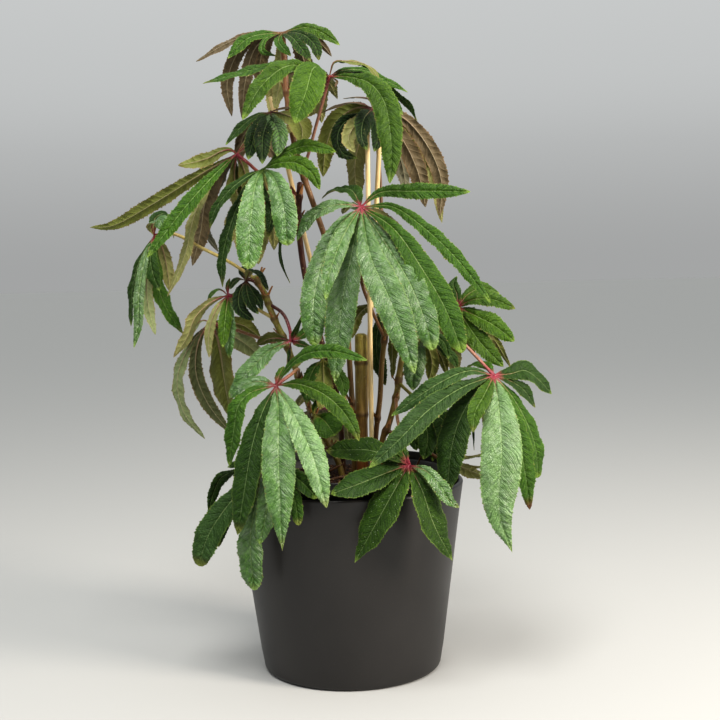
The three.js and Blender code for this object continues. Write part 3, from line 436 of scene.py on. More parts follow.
            ("bright", 16, 50, (-42.5, 249, 80), (-21.5, 240.5, 94),
             (-6, 227, 102), (4, 212, 106), (10, 197.5, 108)),
            ("pale", 21, 35, (-52, 232, 82), (-41, 210, 98), (-31, 185, 110), (-20, 139, 120)),
            ("sheen drawn", 27, 10, (-60, 225, 84), (-61, 190, 102), (-61, 150, 112), (-60, 102, 114)),
            ("deep", 23, 35, (-74, 225, 78), (-84, 195, 86), (-92, 155, 90), (-99, 117, 88)),
            ("green", 17, 45, (-84.5, 242, 73), (-95, 231, 78),
             (-99, 212, 78), (-102.5, 192.5, 76), (-104.5, 178.5, 74)),
            ("sheen", 14, 45, (-76, 252, 62), (-90, 249, 60), (-103, 238, 56)),
            ("bright", 7, 20, (-59, 256, 62), (-54, 265, 56)),
        ],
    },
    "leaf_pot_edge": {
        "hub": (-76, 173, 62), "colours": ("orange", "brown"),
        "stalk": [(-62, 184, 46), (-40, 191, 28)], "joins": ("cane_left", 195),
        "leaflets": [
            ("dull blunt", 23, 80, (-94, 157, 59), (-110, 139.5, 58), (-125, 116.5, 57), (-134, 90, 54)),
            ("deep", 12, -30, (-97, 160, 48), (-108, 134, 42), (-116, 106.5, 36)),
            ("deep", 12, -30, (-94, 175, 50), (-112, 168, 40), (-120, 152, 34), (-124, 139, 32)),
            ("green", 10, 30, (-90, 181, 62), (-106, 177.5, 62)),
            ("sheen blunt", 22, 20, (-81, 150, 74), (-88, 112, 76), (-86, 67, 72)),
            ("sheen", 16, 10, (-72, 155, 82), (-74, 132, 86), (-80, 108, 86)),
            ("green blunt", 12, 20, (-62, 168, 84), (-49, 150, 101), (-45, 124, 103)),
            ("deep blunt", 14, 40, (-58, 174, 82), (-44, 165, 95), (-28, 148, 108)),
        ],
    },
    "leaf_right": {
        "hub": (129, 252.5, 60), "colours": ("pink", "salmon"),
        "stalk": [(106, 278, 46), (84, 299, 24)], "joins": ("cane_right_front", 327),
        "leaflets": [
            ("dull", 14, 50, (108, 257, 70), (83, 248, 80), (38.5, 219, 84)),
            ("dull", 19, 55, (100, 242, 80), (72, 224, 96), (45, 198, 110), (18, 173.5, 116)),
            ("deep", 26, 40, (113, 238, 72), (98, 213, 80), (90, 184, 82), (87, 150, 80)),
            ("bright", 14, 35, (120, 235, 84), (112, 220, 96), (110, 203, 100)),
            ("khaki", 11, -40, (126, 236, 52), (123, 222, 44), (120, 208, 40)),
            ("deep", 7, 20, (117, 228, 60), (111, 206, 58), (110.5, 187, 56)),
            ("pale drawn", 33, 20, (133, 225, 84), (135, 186, 96), (132, 132, 100), (143, 95, 98)),
            ("green blunt", 18, 50, (143, 236, 62), (157, 211, 64), (165, 186, 64), (166.5, 161, 60)),
            ("green dried", 20, 45, (139, 231, 74), (149, 200, 78), (155, 168, 76), (159, 133, 72)),
            ("deep", 13, 50, (142, 248, 58), (155, 239, 58), (165, 223.5, 56)),
            ("deep", 21, 50, (131, 253, 59), (143, 253.5, 54),
             (156.5, 256, 50), (168.5, 247.5, 46), (179.5, 235, 42)),
            ("olive", 12, -50, (120, 248, 44), (109, 241, 36), (99, 235, 32)),
            ("green", 12, 20, (121, 262, 46), (110, 262, 38), (102, 255, 34)),
        ],
    },
    "leaf_front_low": {
        "hub": (53, 175.5, 94), "colours": ("pink", "orange"),
        "stalk": [(48.5, 196, 76), (44, 216, 44)], "joins": ("cane_right_front", 236),
        "leaflets": [
            ("velvet drawn", 31, 25, (37, 148, 111), (22, 122, 115), (3.5, 89.5, 113)),
            ("velvet drawn", 30, 25, (64, 153, 106), (74, 122, 110), (90, 89, 106)),
            ("sheen", 13, 40, (66.5, 170.5, 103), (75, 162.5, 109),
             (82.5, 152.5, 111), (88.5, 142.5, 111), (97, 136.5, 112)),
            ("velvet", 25, 40, (36, 182.5, 88), (19.5, 189, 84), (2.5, 190, 82), (-19.5, 190, 78)),
            ("deep", 24, 45, (34, 169, 101), (10, 160, 106), (-16, 151, 110)),
            ("velvet", 9, 10, (48, 186, 88), (44, 195, 82)),
            ("velvet", 7, 10, (54, 166, 102), (56, 154, 104)),
            ("velvet", 10, 20, (42, 181, 98), (30, 184, 98), (18, 180, 98)),
        ],
    },
    "leaf_right_upper": {
        "hub": (98, 313, 12), "colours": ("pink", "brown"), "stalk": [(90, 318, 8), (78, 322, 2)],
        "joins": ("cane_right_front", 330),
        "leaflets": [
            ("bright", 13, 50, (108, 324, 10), (120, 329, 8), (135, 324, 6)),
            ("bright", 14, 55, (112, 319, 22), (128, 319, 26), (148.5, 310.5, 28)),
            ("bright", 18, 55, (114, 305, 26), (130, 296, 32), (147.5, 282, 34)),
            ("bright", 17, 50, (107, 297, 26), (119, 280, 34), (137.5, 260, 36)),
            ("khaki", 10, -40, (113, 303, 6), (124, 286, 0), (133, 268, -4)),
            ("olive", 8, -30, (117, 302, -6), (130, 284, -14), (144, 259, -20)),
            ("deep", 9, -20, (98, 324, 2), (95, 333, -4), (98, 340, -8)),
            ("olive", 15, -30, (96, 300, -4), (90, 284, -14), (92, 264, -20)),
        ],
    },
    "leaf_right_inner": {
        "hub": (66, 290, 30), "colours": ("olive", "olive"), "stalk": [(62, 292, 20)],
        "joins": ("cane_right_front", 295),
        "leaflets": [
            ("sheen", 18, 20, (62, 273, 42), (59, 258, 46), (58, 241, 46)),
            ("olive", 13, -30, (73, 276, 28), (75, 262, 24), (72, 250, 22)),
            ("deep", 12, 20, (80, 281, 44), (92, 270, 48), (98, 258, 48)),
            ("deep", 11, 20, (76, 290, 46), (86, 282, 52), (90, 268, 54)),
            ("olive", 10, -30, (74, 285, 16), (84, 268, 8), (88, 254, 4)),
        ],
    },
    "leaf_centre_inner": {
        "hub": (33, 312, -26), "colours": ("olive", "brown"), "stalk": [(34, 306, -22)],
        "joins": ("cane_right_back", 299),
        "leaflets": [
            ("deep", 16, 20, (29, 298, -32), (27, 275, -38), (34, 246, -40)),
            ("olive", 12, 20, (39, 298, -30), (41, 275, -36), (40, 252, -38)),
            ("olive", 13, -20, (22, 316, -40), (10, 306, -56), (6, 288, -62)),
            ("olive", 12, -30, (42, 310, -42), (52, 296, -56), (54, 278, -62)),
            ("olive", 12, -20, (33, 312, -50), (32, 296, -72), (32, 272, -80)),
        ],
    },
    "leaf_left_inner": {
        "hub": (-20, 270, 24), "colours": ("olive", "olive"), "stalk": [(-26, 262, 20)],
        "joins": ("cane_left", 251),
        "leaflets": [
            ("green", 14, 20, (-28, 262, 32), (-34, 248, 36), (-35, 232, 36)),
            ("olive", 15, 20, (-20, 256, 36), (-20, 240, 40), (-24, 226, 40)),
            ("green", 14, 20, (-10, 262, 32), (-4, 250, 36), (-2, 236, 36)),
            ("olive", 12, 20, (-30, 274, 30), (-38, 272, 32), (-45, 264, 32)),
            ("deep", 11, -10, (-12, 280, 18), (-6, 284, 10), (0, 280, 4)),
            ("olive", 12, -20, (-20, 262, 4), (-18, 248, -4), (-18, 232, -6)),
        ],
    },
    "leaf_low_round": {
        "hub": (-29, 222, 26), "colours": ("olive", "olive"), "stalk": [(-30, 222, 23)],
        "joins": ("cane_left", 223),
        "leaflets": [
            ("green blunt", 25, 40, (-20, 216, 36), (-11, 203, 42)),
            ("green", 14, 20, (-27, 232, 32), (-21, 238, 34)),
            ("olive", 8, 10, (-25, 211, 30), (-22, 203, 32)),
        ],
    },
    "leaf_right_shaded": {
        "hub": (66, 228, 34), "colours": ("olive", "olive"), "stalk": [(58, 236, 26)],
        "joins": ("cane_right_front", 249),
        "leaflets": [
            ("deep", 21, 30, (76, 222, 42), (86, 210, 48), (82, 190, 50)),
            ("deep", 18, 20, (68, 214, 44), (70, 198, 50), (66, 180, 52)),
            ("deep", 14, 20, (60, 216, 40), (58, 203, 44), (60, 188, 46)),
            ("deep", 12, -20, (78, 234, 26), (90, 234, 20), (98, 224, 16)),
            ("deep", 14, -20, (72, 218, 14), (76, 200, 2), (74, 178, -6)),
        ],
    },
    "leaf_rim_right": {
        "hub": (80, 180, 30), "colours": ("orange", "brown"), "stalk": [(68, 188, 26), (52, 198, 20)],
        "joins": ("cane_right_front", 208),
        "leaflets": [
            ("khaki", 9, 10, (96, 181, 32), (112, 182, 32), (126, 184, 32)),
            ("khaki", 8, 10, (95, 173, 42), (112, 172.5, 44), (126, 172, 44)),
            ("khaki", 13, 30, (95, 174, 44), (110, 167, 54), (126, 162, 54)),
            ("olive", 11, -10, (90, 184, 20), (98, 190, 12), (104, 192, 8)),
        ],
    },
    "leaf_back_crown": {
        "hub": (-34, 518, -30), "colours": ("red", "brown"), "stalk": [(-38, 512, -20)],
        "joins": ("cane_tall", 500),
        "leaflets": [
            ("behind green", 16, 0, (-46, 514, -50), (-56, 498, -74), (-58, 476, -84)),
            ("behind bright", 17, 0, (-37, 515, -58), (-38, 496, -86), (-38, 470, -98)),
            ("behind green", 16, 0, (-26, 515, -56), (-18, 497, -82), (-16, 474, -94)),
            ("behind deep", 13, 0, (-24, 520, -42), (-10, 510, -60), (-2, 494, -70)),
            ("behind green", 12, 0, (-44, 524, -44), (-56, 522, -62), (-64, 508, -74)),
        ],
    },
    "leaf_back_upper": {
        "hub": (18, 392, -62), "colours": ("pink", "brown"), "stalk": [(24, 384, -44)],
        "joins": ("cane_right_back", 366),
        "leaflets": [
            ("behind green", 19, 0, (2, 388, -84), (-12, 368, -106), (-18, 338, -116)),
            ("behind sheen", 21, 0, (10, 388, -92), (2, 364, -122), (-2, 328, -134)),
            ("behind bright", 22, 0, (20, 388, -96), (22, 362, -130), (23, 322, -142)),
            ("behind green", 21, 0, (30, 388, -92), (42, 364, -122), (48, 330, -134)),
            ("behind deep", 18, 0, (36, 388, -80), (54, 372, -100), (64, 348, -110)),
            ("behind green", 13, 0, (12, 400, -76), (6, 404, -94), (0, 396, -108)),
            ("behind deep", 13, 0, (30, 400, -76), (40, 402, -92), (50, 394, -104)),
        ],
    },
    "leaf_back_left": {
        "hub": (-74, 412, -44), "colours": ("pink", "red"), "stalk": [(-62, 404, -34)],
        "joins": ("cane_dark", 393),
        "leaflets": [
            ("behind deep", 18, 0, (-86, 406, -62), (-94, 392, -84), (-98, 372, -94)),
            ("behind green", 20, 0, (-80, 406, -72), (-86, 388, -102), (-88, 358, -114)),
            ("behind sheen", 20, 0, (-72, 406, -74), (-72, 386, -106), (-74, 354, -120)),
            ("behind green", 17, 0, (-66, 408, -70), (-60, 392, -96), (-60, 366, -108)),
            ("behind bright", 13, 0, (-80, 420, -56), (-86, 426, -72), (-90, 418, -88)),
            ("behind green", 13, 0, (-64, 418, -58), (-56, 420, -74), (-50, 412, -88)),
        ],
    },
    "leaf_back_right": {
        "hub": (80, 300, -34), "colours": ("pink", "orange"), "stalk": [(74, 306, -24)],
        "joins": ("cane_right_front", 316),
        "leaflets": [
            ("behind green", 18, 0, (68, 296, -52), (60, 280, -70), (62, 262, -80)),
            ("behind sheen", 20, 0, (76, 295, -62), (74, 274, -90), (76, 250, -104)),
            ("behind green", 20, 0, (86, 296, -62), (92, 276, -90), (96, 252, -104)),
            ("behind deep", 17, 0, (94, 300, -50), (106, 288, -66), (112, 272, -76)),
            ("behind bright", 13, 0, (90, 308, -46), (98, 312, -62), (104, 304, -76)),
            ("behind green", 12, 0, (74, 310, -50), (70, 314, -66), (64, 306, -80)),
        ],
    },
    "leaf_back_low": {
        "hub": (-24, 228, -50), "colours": ("pink", "brown"), "stalk": [(-16, 226, -40)],
        "joins": ("cane_dark", 219),
        "leaflets": [
            ("behind green", 18, 0, (-38, 222, -66), (-50, 204, -80), (-56, 180, -88)),
            ("behind green", 20, 0, (-30, 222, -80), (-36, 202, -108), (-40, 174, -120)),
            ("behind sheen", 20, 0, (-20, 223, -84), (-16, 204, -114), (-14, 176, -128)),
            ("behind deep", 16, 0, (-12, 226, -72), (-2, 214, -96), (2, 192, -112)),
            ("behind green", 12, 0, (-30, 236, -62), (-38, 238, -80), (-44, 228, -94)),
        ],
    },
}

# Canes: radius, colours below and above, where the swollen nodes are as a share of the length, and
# the points of the centre line.
CANES = {
    "cane_main": {
        "radius": 5.3, "colours": ("#7a3018", "#a39a4c"), "nodes": [0.5, 0.82],
        "through": [(12.5, 150, 5), (12.5, 222, 5), (13.6, 292, 5)],
    },
    "cane_tall": {
        "radius": 2.5, "colours": ("#6a5a2c", "#93684a"), "nodes": [0.2, 0.45, 0.7, 0.85],
        "through": [
            (4, 150, -8), (6, 200, -10), (4, 245, -12), (1, 300, -12), (-8, 350, -8),
            (-24, 402, -4), (-34, 433, 0), (-41, 462, 0), (-45, 495, 0), (-47.5, 547, 0),
        ],
    },
    "cane_dark": {
        "radius": 2.6, "colours": ("#4a2e1a", "#4a1a16"), "nodes": [0.35, 0.6, 0.85],
        "through": [
            (-4, 150, -20), (-8, 235, -20), (-22, 290, -18), (-34, 345, -14), (-38, 388, -12),
            (-36, 424, -12),
        ],
    },
    "cane_left": {
        "radius": 2.7, "colours": ("#7d6a34", "#8a8a3c"), "nodes": [0.38, 0.72, 0.9],
        "through": [
            (-2, 150, 12), (-9, 180, 14), (-16, 194, 15), (-30, 222, 16), (-37, 241, 16),
            (-52, 285, 14), (-62, 308, 13), (-70, 330, 10), (-78, 344, 8),
        ],
    },
    "cane_right_back": {
        "radius": 2.3, "colours": ("#6a3a20", "#7a7434"), "nodes": [0.3, 0.6],
        "through": [
            (21, 150, -10), (25, 205, -10), (29, 235, -10), (31, 262, -10), (35, 300, -12),
            (34, 374, -14),
        ],
    },
    "cane_right_front": {
        "radius": 2.6, "colours": ("#6a3a1c", "#8a9040"), "nodes": [0.3, 0.55, 0.8],
        "through": [
            (26, 150, 10), (31, 200, 10), (36, 211, 10), (44, 240, 9), (48, 265, 8), (57, 300, 2),
            (65, 334, -5),
        ],
    },
}

# Split bamboo stakes: foot and top
STAKES = {
    "stake_centre": [(20, 70, 12), (23, 470, 12)],
    "stake_right": [(5, 70, -17), (34.5, 471, -12)],
    "stake_left": [(30, 90, -25), (-59.5, 497, -25)],
}

# Dead twigs on the soil: the points they pass through, thick end first
TWIGS = [
    [(-40, 158, 40), (-24, 168, 46), (-4, 178, 50)],
    [(-30, 160, 52), (-8, 166, 48), (16, 168, 40)],
    [(22, 158, 44), (34, 166, 40), (50, 170, 30)],
    [(44, 158, -20), (58, 172, -14), (66, 186, -10)],
]


def linear(code):
    """An sRGB hex colour as linear red, green and blue."""
    channels = [int(code[i:i + 2], 16) / 255 for i in (1, 3, 5)]
    return tuple(c / 12.92 if c <= 0.04045 else ((c + 0.055) / 1.055) ** 2.4 for c in channels)


def opaque(code):
    return (*linear(code), 1.0)


def add(tree, kind, inputs=None, **settings):
    """Adds a node with its settings, and fills its inputs with values or with links from sockets."""
    node = tree.nodes.new(kind)
    for name, value in settings.items():
        setattr(node, name, value)
    for key, value in (inputs or {}).items():
        socket = node.inputs[key]
        if isinstance(value, bpy.types.NodeSocket):
            tree.links.new(value, socket)
        elif isinstance(value, list):
            for one in value:
                tree.links.new(one, socket)
        else:
            socket.default_value = value
    return node.outputs


# Curves


def placed(point):
    """A plant point [x, z, near] in millimetres as a place in metres."""
    x, z, near = point
    shrink = (EYE_BACK - near) / EYE_BACK
    return np.array([x * shrink, -near, EYE_HEIGHT + (z - EYE_HEIGHT) * shrink]) * MM


def smooth_line(points, step):
    """Points at an even step along a centripetal curve through the given points, with its length."""
    p = [np.asarray(point, float) for point in points]
    p = [2 * p[0] - p[1]] + p + [2 * p[-1] - p[-2]]
    dense = []
    samples = np.linspace(0, 1, CURVE_SAMPLES)[:, None]
    for a, b, c, d in zip(p, p[1:], p[2:], p[3:]):
        before, middle, after = (math.sqrt(np.linalg.norm(q - r)) for q, r in ((b, a), (c, b), (d, c)))
        leave = ((b - a) / before - (c - a) / (before + middle) + (c - b) / middle) * middle
        arrive = ((c - b) / middle - (d - b) / (middle + after) + (d - c) / after) * middle
        square = -3 * b + 3 * c - 2 * leave - arrive
        cube = 2 * b - 2 * c + leave + arrive
        dense.append((b + leave * samples + square * samples ** 2 + cube * samples ** 3)[:-1])
    dense = np.concatenate(dense + [p[-2][None]])
    run = np.concatenate([[0], np.cumsum(np.linalg.norm(np.diff(dense, axis=0), axis=1))])
    count = max(3, round(run[-1] / step) + 1)
    at = np.linspace(0, run[-1], count)
    line = np.stack([np.interp(at, run, dense[:, k]) for k in range(3)], axis=1)
    return line, at


def directions(line):
    """The unit direction of a line at each of its points."""
    ahead = np.gradient(line, axis=0)
    return ahead / np.linalg.norm(ahead, axis=1, keepdims=True)


def on_cane(name, height):
    """The point of a cane's centre line at a height in millimetres."""
    line, _ = smooth_line([placed(p) for p in CANES[name]["through"]], 1 * MM)
    return np.array([np.interp(height * MM, line[:, 2], line[:, k]) for k in range(3)])


def wire(name, lines):
    """A mesh of bare edges, with the values that each line gives: one for all its points, or a list."""
    mesh = bpy.data.meshes.new(name)
    counts = [len(line["centre"]) for line in lines]
    edges = []
    for count, end in zip(counts, np.cumsum(counts)):
        edges += [(i, i + 1) for i in range(end - count, end - 1)]
    mesh.from_pydata(np.concatenate([line["centre"] for line in lines]).tolist(), edges, [])
    for key in lines[0]:
        kind, field, shape = "FLOAT", "value", ()
        if key in VECTORS:
            kind, field, shape = "FLOAT_VECTOR", "vector", (3,)
        rows = [np.broadcast_to(line[key], (count, *shape)) for line, count in zip(lines, counts)]
        values = np.concatenate(rows).astype(np.float32)
        mesh.attributes.new(key, kind, "POINT").data.foreach_set(field, values.ravel())
    return mesh


# Making pieces


def put(name, mesh, slot, *nodes):
    """A finished piece, which stands for the named nodes if there are any."""
    piece = bpy.data.objects.new(name, mesh)
    bpy.context.scene.collection.objects.link(piece)
    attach(piece, "root")
    if nodes:
        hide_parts(*nodes)


def grown(name, start, tree, sizes):
    """The plain mesh that a tree of geometry nodes makes from a starting mesh."""
    carrier = bpy.data.objects.new(name, start)
    bpy.context.scene.collection.objects.link(carrier)
    modifier = carrier.modifiers.new(tree.name, "NODES")
    modifier.node_group = tree
    for item in tree.interface.items_tree:
        if item.in_out == "INPUT" and item.name in sizes:
            modifier[item.identifier] = sizes[item.name]
    graph = bpy.context.evaluated_depsgraph_get()
    mesh = bpy.data.meshes.new_from_object(
        carrier.evaluated_get(graph), preserve_all_data_layers=True, depsgraph=graph)
    bpy.data.objects.remove(carrier)
    bpy.data.meshes.remove(start)
    for extra in ("centre", "side", "top", "thick", "below", "stem"):
        if extra in mesh.attributes:
            mesh.attributes.remove(mesh.attributes[extra])
    mesh.set_sharp_from_angle(angle=math.radians(60))
    mesh.name = name
    return mesh


def new_tree(name, sizes):
    """An empty tree of geometry nodes with a named input for each size."""
    tree = bpy.data.node_groups.new(name, "GeometryNodeTree")
    for way in ("INPUT", "OUTPUT"):
        tree.interface.new_socket("Geometry", in_out=way, socket_type="NodeSocketGeometry")
    for label, value in sizes.items():
        kind = "NodeSocketInt" if isinstance(value, int) else "NodeSocketFloat"
        socket = tree.interface.new_socket(label, in_out="INPUT", socket_type=kind)
        socket.default_value = value
    return tree, add(tree, "NodeGroupInput")


def end_tree(tree, whole, *skins):
    """Ends a tree: real geometry, with each material on the faces that are chosen for it."""
    whole = add(tree, "GeometryNodeRealizeInstances", {"Geometry": whole})[0]
    for chosen, skin in skins:
        whole = add(tree, COAT, {"Geometry": whole, "Selection": chosen, "Material": skin})[0]
    add(tree, "NodeGroupOutput", {"Geometry": whole})
    return tree


def swept(tree, lines, sides):
    """A closed round rod along each line, as thick as its points say."""
    thick = add(tree, NAMED, {"Name": "thick"}, data_type="FLOAT")["Attribute"]
    ring = add(tree, "GeometryNodeCurvePrimitiveCircle", {"Resolution": sides, "Radius": 1.0})[0]
    return add(tree, "GeometryNodeCurveToMesh",
               {"Curve": lines, "Profile Curve": ring, "Scale": thick, "Fill Caps": True})[0]


def patches(tree, place, size, detail, low, high, least=0.0, most=1.0):
    """Soft patches of about a size in metres, with values from `least` to `most`."""
    cloud = add(tree, NOISE, {"Vector": place, "Scale": 1 / size, "Detail": detail})["Fac"]
    return add(tree, RANGE, {0: cloud, 1: low, 2: high, 3: least, 4: most})[0]


def between_veins(tree, vein):
    """0 on a side vein and 1 half way between two, from a count that is whole on every vein."""
    for step, other in (("MULTIPLY", math.pi), ("SINE", 0.0), ("ABSOLUTE", 0.0)):
        vein = add(tree, MATH, {0: vein, 1: other}, operation=step)[0]
    return vein


def leaf_tree(top, underside, stalk):
    """Leaflets and stalks along the wires: teeth, quilting between the veins, fold and ruffle."""
    tree, sizes = new_tree("leaf", LEAF_SIZES)
    wires = add(tree, "GeometryNodeMeshToCurve", {"Mesh": sizes["Geometry"]})["Curve"]
    thick = add(tree, NAMED, {"Name": "thick"}, data_type="FLOAT")["Attribute"]
    is_stalk = add(tree, MATH, {0: thick, 1: 0.0}, operation="GREATER_THAN")[0]
    split = add(tree, "GeometryNodeSeparateGeometry", {"Geometry": wires, "Selection": is_stalk})

    # The section of a leaflet is a flat loop: its upper points run from one margin to the other,
    # and its lower ones run back.
    columns = sizes["Columns"]
    corners = add(tree, MATH, {0: columns, 1: 2.0}, operation="MULTIPLY")[0]
    loop = add(tree, "GeometryNodeCurvePrimitiveCircle", {"Resolution": corners})[0]
    index = add(tree, "GeometryNodeInputIndex")[0]
    steps = add(tree, MATH, {0: index, 1: columns}, operation="SUBTRACT")[0]
    steps = add(tree, MATH, {0: steps}, operation="ABSOLUTE")[0]
    across = add(tree, RANGE, {0: steps, 1: 0.0, 2: columns, 3: -1.0, 4: 1.0})[0]
    below = add(tree, MATH, {0: index, 1: columns}, operation="GREATER_THAN")[0]
    for name, value in (("across", across), ("below", below)):
        loop = add(tree, STORE, {"Geometry": loop, "Name": name, "Value": value}, data_type="FLOAT")[0]
    sheet = add(tree, "GeometryNodeCurveToMesh",
                {"Curve": split["Inverted"], "Profile Curve": loop, "Fill Caps": True})[0]

    across, below, half, full, along, phase, pleat = (
        add(tree, NAMED, {"Name": name}, data_type="FLOAT")["Attribute"]
        for name in ("across", "below", "half", "full", "along", "phase", "pleat"))
    out = add(tree, MATH, {0: across}, operation="ABSOLUTE")[0]
    flank = add(tree, MATH, {0: across}, operation="SIGN")[0]
    outer = add(tree, MATH, {0: out, 1: out}, operation="MULTIPLY")[0]

    # Teeth lean towards the tip, and no two are alike.
    tooth = add(tree, MATH, {0: along, 1: sizes["Tooth length"]}, operation="DIVIDE")[0]
    number = add(tree, MATH, {0: tooth}, operation="FLOOR")[0]
    for source, spread in ((flank, 500.0), (phase, 90.0)):
        number = add(tree, MATH, {0: source, 1: spread, 2: number}, operation="MULTIPLY_ADD")[0]
    size = add(tree, "FunctionNodeRandomValue",
               {2: TOOTH_LEAST, 3: TOOTH_MOST, "ID": number, "Seed": SEED})[1]
    lean = add(tree, MATH, {0: tooth}, operation="FRACT")[0]
    jut = add(tree, MATH, {0: lean, 1: size, 2: -NOTCH}, operation="MULTIPLY_ADD")[0]
    margin = add(tree, MATH, {0: out, 1: TOOTH_POWER}, operation="POWER")[0]
    for factor in (margin, full):
        jut = add(tree, MATH, {0: jut, 1: factor}, operation="MULTIPLY")[0]
    reach = add(tree, MATH, {0: jut, 1: sizes["Tooth depth"], 2: half}, operation="MULTIPLY_ADD")[0]
    reach = add(tree, MATH, {0: reach, 1: across}, operation="MULTIPLY")[0]

    # Side veins run out and forward, a little astray, and closer together on a pleated leaflet.
    off = add(tree, MATH, {0: out, 1: half}, operation="MULTIPLY")[0]
    ahead = add(tree, MATH, {0: off, 1: sizes["Vein slant"]}, operation="MULTIPLY")[0]
    vein = add(tree, MATH, {0: along, 1: ahead}, operation="SUBTRACT")[0]
    vein = add(tree, MATH, {0: vein, 1: sizes["Vein spacing"]}, operation="DIVIDE")[0]
    edge = add(tree, MATH, {0: across, 1: half}, operation="MULTIPLY")[0]
    spot = add(tree, "ShaderNodeCombineXYZ", {"X": along, "Y": edge, "Z": phase})[0]
    stray = add(tree, NOISE, {"Vector": spot, "Scale": 1 / (11 * MM), "Detail": 1.0})["Fac"]
    stray = add(tree, MATH, {0: stray, 1: 0.5}, operation="SUBTRACT")[0]
    vein = add(tree, MATH, {0: stray, 1: sizes["Vein stray"], 2: vein}, operation="MULTIPLY_ADD")[0]
    pleat = add(tree, MATH, {0: pleat, 1: 1.0}, operation="ADD")[0]
    vein = add(tree, MATH, {0: vein, 1: pleat}, operation="MULTIPLY")[0]

    # The leaflet puffs up between them, more in some places, and not at its midrib and margins.
    puff = between_veins(tree, vein)
    inner = add(tree, MATH, {0: 1.0, 1: outer}, operation="SUBTRACT")[0]
    window = add(tree, RANGE, {0: out, 1: 0.05, 2: 0.3})[0]
    window = add(tree, MATH, {0: window, 1: inner}, operation="MULTIPLY")[0]
    swell = patches(tree, spot, 7 * MM, 2.0, 0.35, 0.65, 0.3, 1.4)
    for factor in (window, sizes["Vein height"], swell):
        puff = add(tree, MATH, {0: puff, 1: factor}, operation="MULTIPLY")[0]

    # Its margins wave up and down, it is folded at the midrib, and each half is arched.
    turn = add(tree, MATH, {0: along, 1: sizes["Ruffle length"]}, operation="DIVIDE")[0]
    turn = add(tree, MATH, {0: turn, 1: 2 * math.pi, 2: phase}, operation="MULTIPLY_ADD")[0]
    turn = add(tree, MATH, {0: flank, 1: 1.1, 2: turn}, operation="MULTIPLY_ADD")[0]
    wave = add(tree, MATH, {0: turn}, operation="SINE")[0]
    wave = add(tree, MATH, {0: wave, 1: outer}, operation="MULTIPLY")[0]
    relief = add(tree, MATH, {0: wave, 1: sizes["Ruffle height"], 2: puff}, operation="MULTIPLY_ADD")[0]
    relief = add(tree, MATH, {0: relief, 1: full}, operation="MULTIPLY")[0]
    arch = add(tree, MATH, {0: outer, 1: sizes["Arch"]}, operation="MULTIPLY")[0]
    fold = add(tree, MATH, {0: out, 1: sizes["Fold"]}, operation="MULTIPLY")[0]
    fold = add(tree, MATH, {0: fold, 1: arch}, operation="SUBTRACT")[0]
    height = add(tree, MATH, {0: fold, 1: half, 2: relief}, operation="MULTIPLY_ADD")[0]
    drop = add(tree, MATH, {0: below, 1: sizes["Sheet thickness"]}, operation="MULTIPLY")[0]
    height = add(tree, MATH, {0: height, 1: drop}, operation="SUBTRACT")[0]

    place, side, up = (
        add(tree, NAMED, {"Name": name}, data_type="FLOAT_VECTOR")["Attribute"]
        for name in ("centre", "side", "top"))
    for direction, distance in ((side, reach), (up, height)):
        step = add(tree, VECTOR, {0: direction, "Scale": distance}, operation="SCALE")[0]
        place = add(tree, VECTOR, {0: place, 1: step}, operation="ADD")[0]
    for name, value in (("vein", vein), ("off", off)):
        sheet = add(tree, STORE, {"Geometry": sheet, "Name": name, "Value": value}, data_type="FLOAT")[0]
    sheet = add(tree, "GeometryNodeSetPosition", {"Geometry": sheet, "Position": place})[0]

    stalks = swept(tree, split["Selection"], sizes["Stalk sides"])
    stalks = add(tree, STORE, {"Geometry": stalks, "Name": "stem", "Value": 1.0},
                 data_type="FLOAT", domain="FACE")[0]
    whole = add(tree, "GeometryNodeJoinGeometry", {"Geometry": [sheet, stalks]})[0]
    whole = add(tree, "GeometryNodeSetShadeSmooth", {"Geometry": whole})[0]
    lower = add(tree, MATH, {0: below, 1: 0.25}, operation="GREATER_THAN")[0]
    stem = add(tree, NAMED, {"Name": "stem"}, data_type="FLOAT")["Attribute"]
    stem = add(tree, MATH, {0: stem, 1: 0.5}, operation="GREATER_THAN")[0]
    return end_tree(tree, whole, (True, top), (lower, underside), (stem, stalk))


